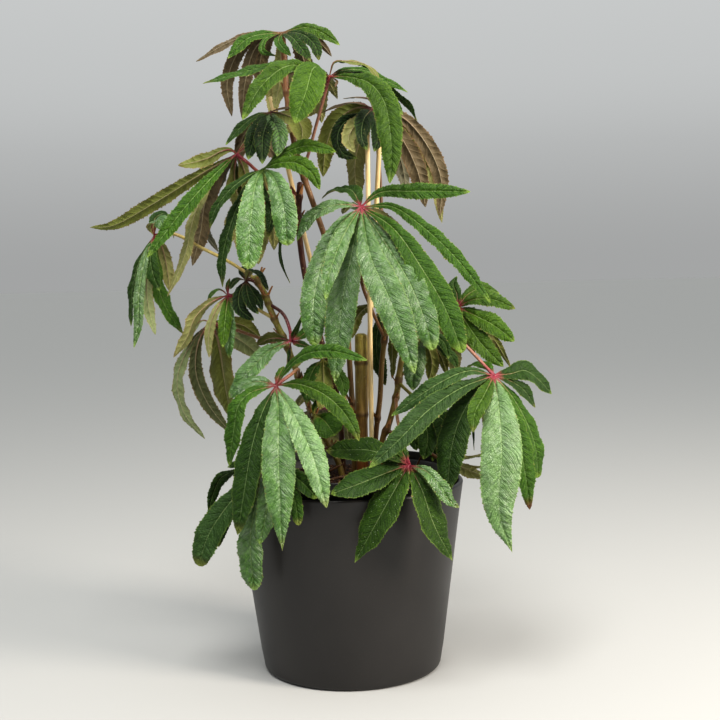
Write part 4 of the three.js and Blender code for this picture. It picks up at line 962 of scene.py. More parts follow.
def leaflet_lines(hub, row, colours, dice):
    """The wires of one leaflet: its blade, and the midrib that stands out below it."""
    words, width, turn, *through = row
    points = [hub] + [placed(p) for p in through]
    line, run = smooth_line(points, STATION)
    share = run / run[-1]
    ahead = directions(line)

    # The blade's sides are level where it can be, then turned to the front by the given angle.
    outward = points[-1] - points[0]
    level = np.array([-outward[1], outward[0], 0.0])
    level /= np.linalg.norm(level)
    side = level - ahead * (ahead @ level)[:, None]
    side /= np.linalg.norm(side, axis=1, keepdims=True)
    top = np.cross(ahead, side)
    angle = math.radians(turn) * (1 if level[1] <= 0 else -1)
    side, top = (side * math.cos(angle) - top * math.sin(angle),
                 top * math.cos(angle) + side * math.sin(angle))

    tone = words.replace("behind ", "").split()[0]
    under = tone in UNDERSIDES
    eye = np.array([0.0, -EYE_BACK, EYE_HEIGHT]) * MM
    middle = len(line) // 2
    faces_eye = top[middle] @ (eye - line[middle]) > 0
    if "behind" not in words and faces_eye == under:
        side, top = -side, -top

    swell, taper = SWELL_POWER, TAPER_POWER
    if "blunt" in words:
        swell, taper = BLUNT_POWERS
    if "drawn" in words:
        swell, taper = DRAWN_POWERS
    peak = swell / (swell + taper)
    most = peak ** swell * (1 - peak) ** taper
    body = np.maximum(share, 1e-6) ** swell * np.maximum(1 - share, 0) ** taper / most
    half = np.maximum(body * width * MM, FOOT_WIDTH * (1 - share)) / 2 + 0.05 * MM

    shade = dice.uniform(0.86, 1.12)
    common = {
        "tint": np.array(linear(TOPS[HIDDEN_TOP if under else tone])) * shade,
        "under": np.array(linear(UNDERSIDES[tone if under else HIDDEN_UNDERSIDE])) * shade,
        "root": linear(STALK_COLOURS[colours[0]]),
        "phase": dice.uniform(0, 2 * math.pi),
        "velvet": 1.0 if tone == "velvet" else 0.0,
        "shine": 1.0 if tone in ("sheen", "pale") else 0.0,
        "pleat": 1.0 if "pleated" in words else 0.0,
        "worn": 1.0 if "dried" in words else dice.choice([0.0, 0.0, 0.0, 0.35]),
    }
    full = np.minimum(half / FULL_RELIEF_WIDTH, 1)
    blade = {"centre": line, "side": side, "top": top, "half": half, "full": full, "along": run,
             "share": share, "thick": 0.0, **common}

    rib, rib_run = smooth_line(points, RIB_STATION)
    rib_share = rib_run / rib_run[-1]
    thickest = RIB_RADIUS + RIB_RADIUS_BY_WIDTH * width
    radius = (RIB_TIP_RADIUS + (thickest - RIB_TIP_RADIUS) * (1 - rib_share) ** 1.3) * MM
    radius *= np.where(rib_run < 7 * MM, 0.8, 1.0)
    rib_top = np.stack([np.interp(rib_run, run, top[:, k]) for k in range(3)], axis=1)
    sunk = np.minimum(rib_run / (12 * MM), 1.0) * radius * 0.95
    midrib = {"centre": rib - rib_top * sunk[:, None], "side": side[0], "top": top[0], "half": 0.0,
              "full": 0.0, "along": rib_run, "share": rib_share, "thick": radius, **common}
    return [blade, midrib]


def leaf_lines(leaf, dice):
    """All the wires of a leaf."""
    hub = placed(leaf["hub"])
    lines = []
    for row in leaf["leaflets"]:
        lines += leaflet_lines(hub, row, leaf["colours"], dice)
    route = [hub] + [placed(p) for p in leaf["stalk"]]
    if leaf["joins"]:
        route.append(on_cane(*leaf["joins"]))
    line, run = smooth_line(route, 2 * MM)
    share = run / run[-1]
    near_hub = np.exp(-(run / (4 * MM)) ** 2)
    near_cane = np.exp(-((run[-1] - run) / (5 * MM)) ** 2)
    radius = STALK_RADIUS + (HUB_RADIUS - STALK_RADIUS) * near_hub + STALK_FOOT_SWELLING * near_cane
    radius *= MM
    hub_colour, stalk_colour = (np.array(linear(STALK_COLOURS[word])) for word in leaf["colours"])
    fade = np.exp(-(run / (14 * MM)) ** 2)[:, None]
    tint = hub_colour * fade + stalk_colour * (1 - fade)
    lines.append({**lines[0], "centre": line, "side": (1, 0, 0), "top": (0, 0, 1), "half": 0.0,
                  "full": 0.0, "along": -run, "share": share, "thick": radius, "root": tint,
                  "velvet": 0.0})
    return lines


# Canes, stakes and soil


def rod_tree(skin):
    """A closed round rod along each wire, as thick as the wire says."""
    tree, sizes = new_tree("rod", {"Sides": CANE_SIDES})
    line = add(tree, "GeometryNodeMeshToCurve", {"Mesh": sizes["Geometry"]})["Curve"]
    rod = swept(tree, line, sizes["Sides"])
    rod = add(tree, "GeometryNodeSetShadeSmooth", {"Geometry": rod})[0]
    return end_tree(tree, rod, (True, skin))


def cane_line(name):
    """The wire of a cane, thicker and ringed where its leaves stand."""
    cane = CANES[name]
    line, run = smooth_line([placed(p) for p in cane["through"]], CANE_STATION * MM)
    stands = [share * run[-1] for share in cane["nodes"]]
    for leaf in LEAVES.values():
        if leaf["joins"] and leaf["joins"][0] == name:
            stands.append(np.interp(leaf["joins"][1] * MM, line[:, 2], run))
    ring = sum(np.exp(-((run - at) / (NODE_REACH * MM)) ** 2) for at in stands)
    ring = np.minimum(ring, 1.0)
    share = run / run[-1]
    low, high = (np.array(linear(code)) for code in cane["colours"])
    end = np.minimum((run[-1] - run) / (1.2 * MM), 1.0)
    radius = (cane["radius"] + NODE_SWELLING * ring) * (0.55 + 0.45 * np.sqrt(end)) * MM
    return {
        "centre": line, "thick": radius, "along": run, "ring": ring,
        "tint": low + (high - low) * share[:, None],
    }, [np.array([np.interp(at, run, line[:, k]) for k in range(3)]) for at in stands]


def stake_line(ends):
    line, run = smooth_line([placed(p) for p in ends], 12 * MM)
    return {"centre": line, "thick": STAKE_RADIUS * MM, "along": run}


def twig_line(points):
    line, run = smooth_line([placed(p) for p in points], 3 * MM)
    share = run / run[-1]
    radius = (TWIG_RADIUS - (TWIG_RADIUS - TWIG_TIP_RADIUS) * share) * MM
    return {"centre": line, "thick": radius, "along": run, "ring": 0.3 * (share < 0.1),
            "tint": linear(TWIG_COLOUR)}


def stipule_spots(stands):
    """Points round the canes' nodes, where stipules stand, with their turn and size."""
    dice = random.Random(SEED)
    places, turns, sizes = [], [], []
    for place, radius in stands:
        for _ in range(STIPULES_AT_NODE):
            angle = dice.uniform(0, 2 * math.pi)
            outward = np.array([-math.sin(angle), math.cos(angle), 0])
            places.append((place + outward * radius * MM).tolist())
            turns.append((dice.uniform(-0.5, -0.1), 0, angle))
            sizes.append(dice.uniform(0.6, 1.1))
    mesh = bpy.data.meshes.new("stipule_spots")
    mesh.from_pydata(places, [], [])
    turns = np.array(turns, np.float32).ravel()
    mesh.attributes.new("turn", "FLOAT_VECTOR", "POINT").data.foreach_set("vector", turns)
    mesh.attributes.new("size", "FLOAT", "POINT").data.foreach_set("value", sizes)
    return mesh


def stipule_tree(skin):
    """A small pointed, curled sheet that stands on each point and leans the way the point says."""
    tree, sizes = new_tree("stipules", STIPULE_SIZES)
    grid = add(tree, "GeometryNodeMeshGrid", {
        "Size X": 1.0, "Size Y": 1.0, "Vertices X": sizes["Columns"], "Vertices Y": sizes["Rows"],
    })["Mesh"]
    place = add(tree, "GeometryNodeInputPosition")[0]
    place = add(tree, "ShaderNodeSeparateXYZ", {"Vector": place})
    up = add(tree, MATH, {0: place["Y"], 1: 0.5}, operation="ADD")[0]
    narrow = add(tree, MATH, {0: 1.0, 1: up}, operation="SUBTRACT")[0]
    narrow = add(tree, MATH, {0: narrow, 1: 0.7}, operation="POWER")[0]
    wide = add(tree, MATH, {0: place["X"], 1: sizes["Width"]}, operation="MULTIPLY")[0]
    wide = add(tree, MATH, {0: wide, 1: narrow}, operation="MULTIPLY")[0]
    cup = add(tree, MATH, {0: place["X"], 1: place["X"]}, operation="MULTIPLY")[0]
    cup = add(tree, MATH, {0: cup, 1: -3.0, 2: up}, operation="MULTIPLY_ADD")[0]
    cup = add(tree, MATH, {0: cup, 1: sizes["Curl"]}, operation="MULTIPLY")[0]
    tall = add(tree, MATH, {0: up, 1: sizes["Length"]}, operation="MULTIPLY")[0]
    place = add(tree, "ShaderNodeCombineXYZ", {"X": wide, "Y": cup, "Z": tall})[0]
    sheet = add(tree, "GeometryNodeSetPosition", {"Geometry": grid, "Position": place})[0]
    sheet = add(tree, "GeometryNodeSetShadeSmooth", {"Geometry": sheet})[0]
    turn = add(tree, NAMED, {"Name": "turn"}, data_type="FLOAT_VECTOR")["Attribute"]
    turn = add(tree, "FunctionNodeEulerToRotation", {"Euler": turn})[0]
    size = add(tree, NAMED, {"Name": "size"}, data_type="FLOAT")["Attribute"]
    spots = add(tree, "GeometryNodeMeshToPoints", {"Mesh": sizes["Geometry"]})[0]
    sheets = add(tree, "GeometryNodeInstanceOnPoints",
                 {"Points": spots, "Instance": sheet, "Rotation": turn, "Scale": size})[0]
    return end_tree(tree, sheets, (True, skin))


def soil_tree(earth):
    """Peat crumbs and bark chips scattered over the top of the soil."""
    tree, sizes = new_tree("soil", SOIL_SIZES)
    bed = sizes["Geometry"]
    normal = add(tree, "GeometryNodeInputNormal")[0]
    facing = add(tree, "ShaderNodeSeparateXYZ", {"Vector": normal})["Z"]
    facing = add(tree, MATH, {0: facing, 1: 0.5}, operation="GREATER_THAN")[0]
    layers = []
    kinds = [
        ("Crumb spacing", "Crumb size", (0.5, 0.5, 0.4), (1.5, 1.2, 0.9), SEED),
        ("Chip spacing", "Chip length", (0.7, 0.25, 0.12), (1.5, 0.55, 0.3), SEED + 1),
    ]
    for spacing, length, least, most, seed in kinds:
        lump = add(tree, "GeometryNodeMeshIcoSphere", {"Radius": sizes[length], "Subdivisions": 1})[0]
        dent = add(tree, "GeometryNodeInputPosition")[0]
        dent = add(tree, VORONOI, {"Vector": dent, "Scale": 1 / (2 * MM)})["Distance"]
        dent = add(tree, MATH, {0: dent, 1: -0.55, 2: 1.2}, operation="MULTIPLY_ADD")[0]
        shaped = add(tree, "GeometryNodeInputPosition")[0]
        shaped = add(tree, VECTOR, {0: shaped, "Scale": dent}, operation="SCALE")[0]
        lump = add(tree, "GeometryNodeSetPosition", {"Geometry": lump, "Position": shaped})[0]
        spots = add(tree, "GeometryNodeDistributePointsOnFaces", {
            "Mesh": bed, "Selection": facing, "Distance Min": sizes[spacing], "Density Max": 250000.0,
            "Seed": seed}, distribute_method="POISSON")
        turn = add(tree, "FunctionNodeRandomValue", {
            0: (-0.5, -0.5, 0.0), 1: (0.5, 0.5, 6.28), "Seed": seed}, data_type="FLOAT_VECTOR")[0]
        turn = add(tree, "FunctionNodeEulerToRotation", {"Euler": turn})[0]
        size = add(tree, "FunctionNodeRandomValue", {0: least, 1: most, "Seed": seed + 5},
                   data_type="FLOAT_VECTOR")[0]
        lumps = add(tree, "GeometryNodeInstanceOnPoints", {
            "Points": spots["Points"], "Instance": lump, "Rotation": turn, "Scale": size})[0]
        chance = add(tree, "FunctionNodeRandomValue", {2: 0.0, 3: 1.0, "Seed": seed + 9})[1]
        lumps = add(tree, STORE, {"Geometry": lumps, "Name": "kind", "Value": chance},
                    data_type="FLOAT", domain="INSTANCE")[0]
        layers.append(lumps)
    whole = add(tree, "GeometryNodeJoinGeometry", {"Geometry": [bed, *layers]})[0]
    return end_tree(tree, whole, (True, earth))


# Pots


def arc(centre_radius, centre_height, radius, start, end, steps):
    """Points of a profile round a corner, between two angles in degrees."""
    angles = np.radians(np.linspace(start, end, steps + 1))
    return [(centre_radius + radius * math.cos(a), centre_height + radius * math.sin(a)) for a in angles]


def turned(name, profile, sides=POT_SIDES):
    """A profile of radius and height that starts and ends on the axis, turned about it."""
    mesh = bpy.data.meshes.new(name)
    verts = []
    rings = []
    for radius, height in profile:
        count = sides if radius > 0 else 1
        rings.append(range(len(verts), len(verts) + count))
        for i in range(count):
            angle = i / sides * 2 * math.pi
            verts.append((radius * math.cos(angle), radius * math.sin(angle), height))
    faces = []
    for low, high in zip(rings, rings[1:]):
        for i in range(sides):
            j = (i + 1) % sides
            corners = [low[i % len(low)], low[j % len(low)], high[j % len(high)], high[i % len(high)]]
            faces.append(list(dict.fromkeys(corners)))
    mesh.from_pydata(verts, [], faces)
    mesh.shade_smooth()
    mesh.set_sharp_from_angle(angle=math.radians(40))
    return mesh


def cover_pot_mesh():
    slope = (COVER_RIM_RADIUS - COVER_FOOT_RADIUS) / COVER_HEIGHT
    lip = COVER_WALL / 2
    inner_foot = COVER_FOOT_RADIUS - COVER_WALL
    foot = COVER_FOOT_ROUNDING
    profile = [(0, 0)]
    profile += arc(COVER_FOOT_RADIUS - foot, foot, foot, -90, 0, 8)
    profile += [(COVER_FOOT_RADIUS + slope * z, z) for z in np.linspace(0.02, COVER_HEIGHT - 0.02, 7)]
    profile += arc(COVER_RIM_RADIUS - lip, COVER_HEIGHT - lip, lip, 0, 180, 12)
    profile += [(inner_foot, COVER_FLOOR + 3 * MM), (inner_foot - 3 * MM, COVER_FLOOR), (0, COVER_FLOOR)]
    return turned("cover_pot_coated", profile)


def growing_pot_mesh():
    shoulder = GROW_RIM_HEIGHT - GROW_RIM_BAND
    wall_top = GROW_RIM_RADIUS - GROW_RIM_STEP
    edge = GROW_WALL / 2
    inner = GROW_RIM_RADIUS - GROW_WALL
    profile = [(0, GROW_FOOT), (GROW_FOOT_RADIUS - 2 * MM, GROW_FOOT)]
    profile += [(GROW_FOOT_RADIUS, GROW_FOOT + 2 * MM)]
    profile += [(wall_top, shoulder - 0.6 * MM), (wall_top + 0.5 * MM, shoulder)]
    profile += arc(GROW_RIM_RADIUS - 0.8 * MM, shoulder + 0.8 * MM, 0.8 * MM, -90, 0, 4)
    profile += arc(GROW_RIM_RADIUS - edge, GROW_RIM_HEIGHT - edge, edge, 0, 180, 8)
    profile += [(inner, shoulder + 1.5 * MM), (inner - GROW_RIM_STEP, shoulder)]
    profile += [(GROW_FOOT_RADIUS - GROW_WALL, GROW_FOOT + GROW_WALL), (0, GROW_FOOT + GROW_WALL)]
    return turned("growing_pot_moulded", profile)


def drilled(mesh):
    """The growing pot with its drain holes."""
    depth = 3 * GROW_WALL
    drill = [(0, -depth), (DRAIN_RADIUS, -depth), (DRAIN_RADIUS, depth), (0, depth)]
    pot = bpy.data.objects.new("pot", mesh)
    drills = bpy.data.objects.new("drills", turned("drills", drill, DRAIN_SIDES))
    for piece in (pot, drills):
        bpy.context.scene.collection.objects.link(piece)
    for i in range(DRAINS):
        angle = i / DRAINS * 2 * math.pi
        reach = DRAIN_REACH * GROW_FOOT_RADIUS
        drills.location = (reach * math.cos(angle), reach * math.sin(angle), GROW_FOOT)
        cut = pot.modifiers.new("drain", "BOOLEAN")
        cut.object = drills
        graph = bpy.context.evaluated_depsgraph_get()
        pot.data = bpy.data.meshes.new_from_object(pot.evaluated_get(graph), depsgraph=graph)
        pot.modifiers.clear()
    whole = pot.data
    bpy.data.objects.remove(pot)
    bpy.data.objects.remove(drills)
    return whole


def soil_bed():
    """The soil as one closed plug with an uneven top."""
    low = GROW_FOOT + GROW_WALL + SOIL_GAP
    shoulder = GROW_RIM_HEIGHT - GROW_RIM_BAND
    inner_top = GROW_RIM_RADIUS - GROW_RIM_STEP - GROW_WALL
    inner_foot = GROW_FOOT_RADIUS - GROW_WALL
    slope = (inner_top - inner_foot) / (shoulder - low)
    edge = inner_foot + slope * (SOIL_EDGE_HEIGHT - low) - SOIL_GAP
    profile = [(0, low), (inner_foot - SOIL_GAP, low), (edge, SOIL_EDGE_HEIGHT - 3 * MM)]
    for i in range(SOIL_RINGS + 1):
        share = 1 - i / SOIL_RINGS
        rise = (SOIL_MIDDLE_HEIGHT - SOIL_EDGE_HEIGHT) * (1 - share ** 2)
        profile.append((edge * share, SOIL_EDGE_HEIGHT + rise))
    mesh = turned("soil_bed", profile, SOIL_SIDES)
    for vertex in mesh.vertices:
        x, y, z = vertex.co
        if z > SOIL_EDGE_HEIGHT - 1 * MM:
            bumps = math.sin(x * 260) * math.cos(y * 310) + math.sin(x * 610 + y * 480) * 0.5
            vertex.co.z += bumps * SOIL_BUMP
    return mesh


# Materials


def new_material(name, values):
    """A material with one Principled shader, and the values of that shader's own sockets."""
    material = bpy.data.materials.new(name)
    material.use_nodes = True
    shader = material.node_tree.nodes["Principled BSDF"]
    for socket, value in values.items():
        shader.inputs[socket].default_value = value
    return material, material.node_tree, shader


def finished(material, colour, layers, height, strength, depth):
    """A material with layers over its first colour, and with relief.

    A layer is how much of it shows and its colour. Plain numbers darken or brighten what is below,
    and a hex colour or a colour socket covers it.
    """
    tree = material.node_tree
    shader = tree.nodes["Principled BSDF"]
    for amount, paint in layers:
        blend = "MULTIPLY" if isinstance(paint, tuple) else "MIX"
        if isinstance(paint, str):
            paint = opaque(paint)
        colour = add(tree, MIX, {0: amount, 6: colour, 7: paint}, data_type="RGBA", blend_type=blend)[2]
    bump = add(tree, "ShaderNodeBump",
               {"Height": height, "Strength": strength, "Distance": depth})["Normal"]
    tree.links.new(colour, shader.inputs["Base Color"])
    tree.links.new(bump, shader.inputs["Normal"])
    if shader.inputs["Coat Weight"].is_linked:
        tree.links.new(bump, shader.inputs["Coat Normal"])
    return material


def leaf_top_material():
    """Living begonia leaf, upper side: satin green, pebbled between sunken veins, with pale hairs."""
    material, tree, shader = new_material("begonia leaf upper side", {
        "IOR": 1.45, "Specular IOR Level": 0.36, "Coat IOR": 1.75, "Coat Roughness": 0.3,
    })
    place = add(tree, "ShaderNodeTexCoord")["Object"]
    tint, root = (add(tree, ATTRIBUTE, attribute_name=name)["Color"] for name in ("tint", "root"))
    along, across, off, vein, pleat, worn, share, velvet, shine = (
        add(tree, ATTRIBUTE, attribute_name=name)["Fac"]
        for name in ("along", "across", "off", "vein", "pleat", "worn", "share", "velvet", "shine"))

    # Blotches of a centimetre and a half, and pebbles of two millimetres with painted shade in their
    # creases
    blotch = patches(tree, place, 14 * MM, 4.0, 0.4, 0.65, 0.0, 0.5)
    bent = add(tree, NOISE, {"Vector": place, "Scale": 1 / (3 * MM), "Detail": 1.0})["Color"]
    bent = add(tree, VECTOR, {0: bent, "Scale": 1.6 * MM}, operation="SCALE")[0]
    bent = add(tree, VECTOR, {0: place, 1: bent}, operation="ADD")[0]
    pebble = add(tree, VORONOI, {"Vector": bent, "Scale": 1 / (1.7 * MM), "Smoothness": 0.3},
                 feature="SMOOTH_F1")["Distance"]
    painted_crease_shade = add(tree, RANGE, {0: pebble, 1: 0.3, 2: 0.6, 3: 0.0, 4: 0.55})[0]

    # Fine vein ridges that run the same way as the side veins, with painted shade in the grooves between
    # them
    vein_place = add(tree, "ShaderNodeCombineXYZ", {"X": vein, "Y": off})[0]
    vein_place = add(tree, "ShaderNodeMapping",
                     {"Vector": vein_place, "Scale": (6.0, 1 / (6 * MM), 1.0)})[0]
    streak = add(tree, NOISE, {"Vector": vein_place, "Scale": 1.0, "Detail": 2.0})["Fac"]
    painted_groove_shade = add(tree, RANGE, {0: streak, 1: 0.35, 2: 0.6, 3: 0.8, 4: 0.0})[0]

    # A painted whitish sheen on glossy leaflets, where they arch over towards the light
    painted_sheen = add(tree, RANGE, {0: share, 1: 0.04, 2: 0.3})[0]
    falling = add(tree, RANGE, {0: share, 1: 0.45, 2: 0.85, 3: 0.1, 4: 0.0})[0]
    for factor in (falling, shine):
        painted_sheen = add(tree, MATH, {0: painted_sheen, 1: factor}, operation="MULTIPLY")[0]

    # Painted shade along the sunken side veins and, deeper, in the folds of pleated leaflets, a thin
    # pale midrib, and a red foot by the hub
    ridge = between_veins(tree, vein)
    line = add(tree, RANGE, {0: ridge, 1: 0.05, 2: 0.4, 3: 0.6, 4: 0.0})[0]
    painted_pleat_shade = add(tree, RANGE, {0: ridge, 1: 0.25, 2: 0.7, 3: 1.0, 4: 0.0})[0]
    painted_pleat_shade = add(tree, MATH, {0: painted_pleat_shade, 1: pleat}, operation="MULTIPLY")[0]
    rib = add(tree, RANGE, {0: off, 1: 0.15 * MM, 2: 0.5 * MM, 3: 1.0, 4: 0.0})[0]
    fade = add(tree, RANGE, {0: share, 1: 0.3, 2: 0.95, 3: 0.42, 4: 0.15})[0]
    fade = add(tree, MATH, {0: rib, 1: fade}, operation="MULTIPLY")[0]
    foot = add(tree, RANGE, {0: along, 1: 3 * MM, 2: 9 * MM, 3: 1.0, 4: 0.0})[0]
    flush = add(tree, RANGE, {0: along, 1: 6 * MM, 2: 24 * MM, 3: 0.7, 4: 0.0})[0]
    flush = add(tree, MATH, {0: rib, 1: flush}, operation="MULTIPLY")[0]
    foot = add(tree, MATH, {0: foot, 1: flush}, operation="MAXIMUM")[0]

    # A yellower margin and tip, and a dry brown tip on worn leaflets
    out = add(tree, MATH, {0: across}, operation="ABSOLUTE")[0]
    margin = add(tree, RANGE, {0: out, 1: 0.9, 2: 1.0, 3: 0.0, 4: 0.3})[0]
    tip = add(tree, RANGE, {0: share, 1: 0.93, 2: 1.0, 3: 0.0, 4: 0.6})[0]
    margin = add(tree, MATH, {0: margin, 1: tip}, operation="MAXIMUM")[0]
    dry = add(tree, RANGE, {0: share, 1: 0.9, 2: 0.97})[0]
    dry = add(tree, MATH, {0: dry, 1: worn}, operation="MULTIPLY")[0]

    # Short white hairs, drawn as dots half a millimetre wide so that they show
    hair = add(tree, VORONOI, {"Vector": place, "Scale": 1 / (2.0 * MM)})
    dot = add(tree, RANGE, {0: hair["Distance"], 1: 0.08, 2: 0.17, 3: 1.0, 4: 0.0})[0]
    chance = add(tree, "ShaderNodeSeparateColor", {"Color": hair["Color"]})[0]
    chance = add(tree, RANGE, {0: chance, 1: 0.35, 2: 0.75})[0]
    many = add(tree, RANGE, {0: velvet, 1: 0.0, 2: 1.0, 3: 0.12, 4: 0.5})[0]
    for factor in (chance, many):
        dot = add(tree, MATH, {0: dot, 1: factor}, operation="MULTIPLY")[0]

    gloss = add(tree, RANGE, {0: blotch, 1: 0.0, 2: 0.5, 3: 0.48, 4: 0.58})[0]
    gloss = add(tree, MATH, {0: velvet, 1: 0.12, 2: gloss}, operation="MULTIPLY_ADD")[0]
    tree.links.new(gloss, shader.inputs["Roughness"])

    # The waxy coat of the glossy leaflets, worn off in patches
    coat = patches(tree, place, 6 * MM, 3.0, 0.4, 0.6, 0.3, 1.0)
    coat = add(tree, MATH, {0: coat, 1: shine}, operation="MULTIPLY")[0]
    tree.links.new(coat, shader.inputs["Coat Weight"])

    # Pebbles and soft buckles between the sunken veins, and a groove over the midrib
    grain = add(tree, NOISE, {"Vector": place, "Scale": 1 / (0.9 * MM), "Detail": 2.0})["Fac"]
    buckle = add(tree, NOISE, {"Vector": place, "Scale": 1 / (4 * MM), "Detail": 2.0})["Fac"]
    relief = add(tree, MATH, {0: grain, 1: 0.8}, operation="MULTIPLY")[0]
    for pattern, rise in ((pebble, -0.6), (streak, 2.0), (buckle, 0.8)):
        relief = add(tree, MATH, {0: pattern, 1: rise, 2: relief}, operation="MULTIPLY_ADD")[0]
    sunk = add(tree, RANGE, {0: ridge, 1: 0.0, 2: 0.5, 3: -0.5, 4: 0.0})[0]
    groove = add(tree, RANGE, {0: off, 1: 0.0, 2: 1.2 * MM, 3: -0.8, 4: 0.0})[0]
    for depth in (sunk, groove):
        relief = add(tree, MATH, {0: relief, 1: depth}, operation="ADD")[0]
    layers = [
        (blotch, (0.6, 0.7, 0.4, 1)),
        # painted shade in the creases between the pebbles
        (painted_crease_shade, (0.42, 0.55, 0.35, 1)),
        # painted shade in the grooves between the fine vein ridges
        (painted_groove_shade, (0.42, 0.56, 0.36, 1)),
        # painted whitish sheen where glossy leaflets arch over
        (painted_sheen, "#a3bb92"),
        # painted shade along the sunken side veins
        (line, (0.55, 0.65, 0.5, 1)),
        # deeper painted shade in the folds of pleated leaflets
        (painted_pleat_shade, (0.16, 0.2, 0.12, 1)),
        (fade, "#a3b97e"),
        (foot, root),
        (margin, "#93ac4a"),
        (dry, "#5a3a1e"),
        (dot, "#dfe8cf"),
    ]
    return finished(material, tint, layers, relief, 0.9, 0.75 * MM)


def leaf_underside_material():
    """Living begonia leaf, underside: paler and matt, with veins that stand out and a brown margin."""
    material, tree, _ = new_material("begonia leaf underside", {
        "Roughness": 0.6, "IOR": 1.4, "Specular IOR Level": 0.4, "Sheen Weight": 0.15,
    })
    place = add(tree, "ShaderNodeTexCoord")["Object"]
    under = add(tree, ATTRIBUTE, attribute_name="under")["Color"]
    across, vein, worn, share = (
        add(tree, ATTRIBUTE, attribute_name=name)["Fac"] for name in ("across", "vein", "worn", "share"))
    blotch = patches(tree, place, 18 * MM, 3.0, 0.35, 0.7, 0.0, 0.5)
    pebble = add(tree, VORONOI, {"Vector": place, "Scale": 1 / (2 * MM)})["Distance"]
    # Painted shade in the dents at the middle of each pebble
    shade = add(tree, RANGE, {0: pebble, 1: 0.0, 2: 0.5, 3: 0.4, 4: 0.0})[0]
    ridge = between_veins(tree, vein)
    line = add(tree, RANGE, {0: ridge, 1: 0.05, 2: 0.35, 3: 0.35, 4: 0.0})[0]
    out = add(tree, MATH, {0: across}, operation="ABSOLUTE")[0]
    margin = add(tree, RANGE, {0: out, 1: 0.86, 2: 0.98, 3: 0.0, 4: 0.55})[0]
    dry = add(tree, RANGE, {0: share, 1: 0.9, 2: 0.97})[0]
    dry = add(tree, MATH, {0: dry, 1: worn}, operation="MULTIPLY")[0]
    raised = add(tree, RANGE, {0: ridge, 1: 0.0, 2: 0.4, 3: 1.0, 4: 0.0})[0]
    relief = add(tree, MATH, {0: pebble, 1: 0.8, 2: raised}, operation="MULTIPLY_ADD")[0]
    layers = [
        (blotch, (0.68, 0.62, 0.45, 1)),
        # painted shade in the pebble dents
        (shade, (0.6, 0.6, 0.55, 1)),
        (line, (1.5, 1.45, 1.3, 1)),
        (margin, "#8a6a46"),
        (dry, "#5a3a1e"),
    ]
    return finished(material, under, layers, relief, 0.6, 0.4 * MM)


def stalk_material():
    """Fleshy begonia stalk: red at the hub, paler along the midribs, with a soft wet gloss."""
    material, tree, _ = new_material("begonia stalk and midrib", {
        "Roughness": 0.4, "IOR": 1.42, "Specular IOR Level": 0.5,
    })
    place = add(tree, "ShaderNodeTexCoord")["Object"]
    root, under = (add(tree, ATTRIBUTE, attribute_name=name)["Color"] for name in ("root", "under"))
    along = add(tree, ATTRIBUTE, attribute_name="along")["Fac"]
    rib = add(tree, MIX, {0: 0.35, 6: under, 7: opaque("#c4b896")}, data_type="RGBA")[2]
    flushed = add(tree, MIX, {0: 0.3, 6: rib, 7: root}, data_type="RGBA")[2]
    distance = add(tree, RANGE, {0: along, 1: 20 * MM, 2: 60 * MM})[0]
    rib = add(tree, MIX, {0: distance, 6: flushed, 7: rib}, data_type="RGBA")[2]
    distance = add(tree, RANGE, {0: along, 1: 5 * MM, 2: 18 * MM})[0]
    blotch = patches(tree, place, 5 * MM, 3.0, 0.3, 0.7, 0.0, 0.5)
    fleck = add(tree, VORONOI, {"Vector": place, "Scale": 1 / (1.8 * MM)})["Distance"]
    fleck = add(tree, RANGE, {0: fleck, 1: 0.12, 2: 0.22, 3: 0.6, 4: 0.0})[0]
    grain = add(tree, NOISE, {"Vector": place, "Scale": 1 / (0.8 * MM), "Detail": 2.0})["Fac"]
    layers = [(distance, rib), (blotch, (0.55, 0.5, 0.45, 1)), (fleck, "#e0c4b8")]
    return finished(material, root, layers, grain, 0.3, 0.2 * MM)


def cane_material():
    """Begonia cane: waxy green to red-brown skin, darker rings at the nodes and pale dots."""
    material, tree, _ = new_material("begonia cane skin", {
        "Roughness": 0.45, "IOR": 1.45, "Specular IOR Level": 0.5,
    })
    place = add(tree, "ShaderNodeTexCoord")["Object"]
    tint = add(tree, ATTRIBUTE, attribute_name="tint")["Color"]
    ring = add(tree, ATTRIBUTE, attribute_name="ring")["Fac"]
    drawn = add(tree, "ShaderNodeMapping", {"Vector": place, "Scale": (1.0, 1.0, 0.12)})[0]
    streak = patches(tree, drawn, 1.2 * MM, 3.0, 0.35, 0.68, 0.0, 0.7)
    blotch = patches(tree, place, 9 * MM, 2.0, 0.45, 0.65, 0.0, 0.45)
    dots = add(tree, VORONOI, {"Vector": place, "Scale": 1 / (4 * MM)})["Distance"]
    dots = add(tree, RANGE, {0: dots, 1: 0.1, 2: 0.16, 3: 0.6, 4: 0.0})[0]
    scar = add(tree, RANGE, {0: ring, 1: 0.4, 2: 0.95, 3: 0.0, 4: 0.75})[0]
    relief = add(tree, MATH, {0: streak, 1: dots}, operation="ADD")[0]
    layers = [
        (streak, (0.45, 0.36, 0.28, 1)),
        (blotch, "#6b4a26"),
        (dots, "#b3a373"),
        (scar, "#4c3218"),
    ]
    return finished(material, tint, layers, relief, 0.4, 0.3 * MM)


def bamboo_material():
    """Split and planed bamboo: pale straw with fine lengthwise fibres and no gloss."""
    material, tree, _ = new_material("split bamboo", {"Roughness": 0.6, "IOR": 1.5})
    place = add(tree, "ShaderNodeTexCoord")["Object"]
    drawn = add(tree, "ShaderNodeMapping", {"Vector": place, "Scale": (1.0, 1.0, 0.03)})[0]
    fibre = patches(tree, drawn, 0.5 * MM, 3.0, 0.35, 0.7)
    stain = patches(tree, place, 30 * MM, 2.0, 0.4, 0.7, 0.0, 0.5)
    layers = [(fibre, "#c8a468"), (stain, "#d9b878")]
    return finished(material, opaque("#efdcae"), layers, fibre, 0.3, 0.2 * MM)


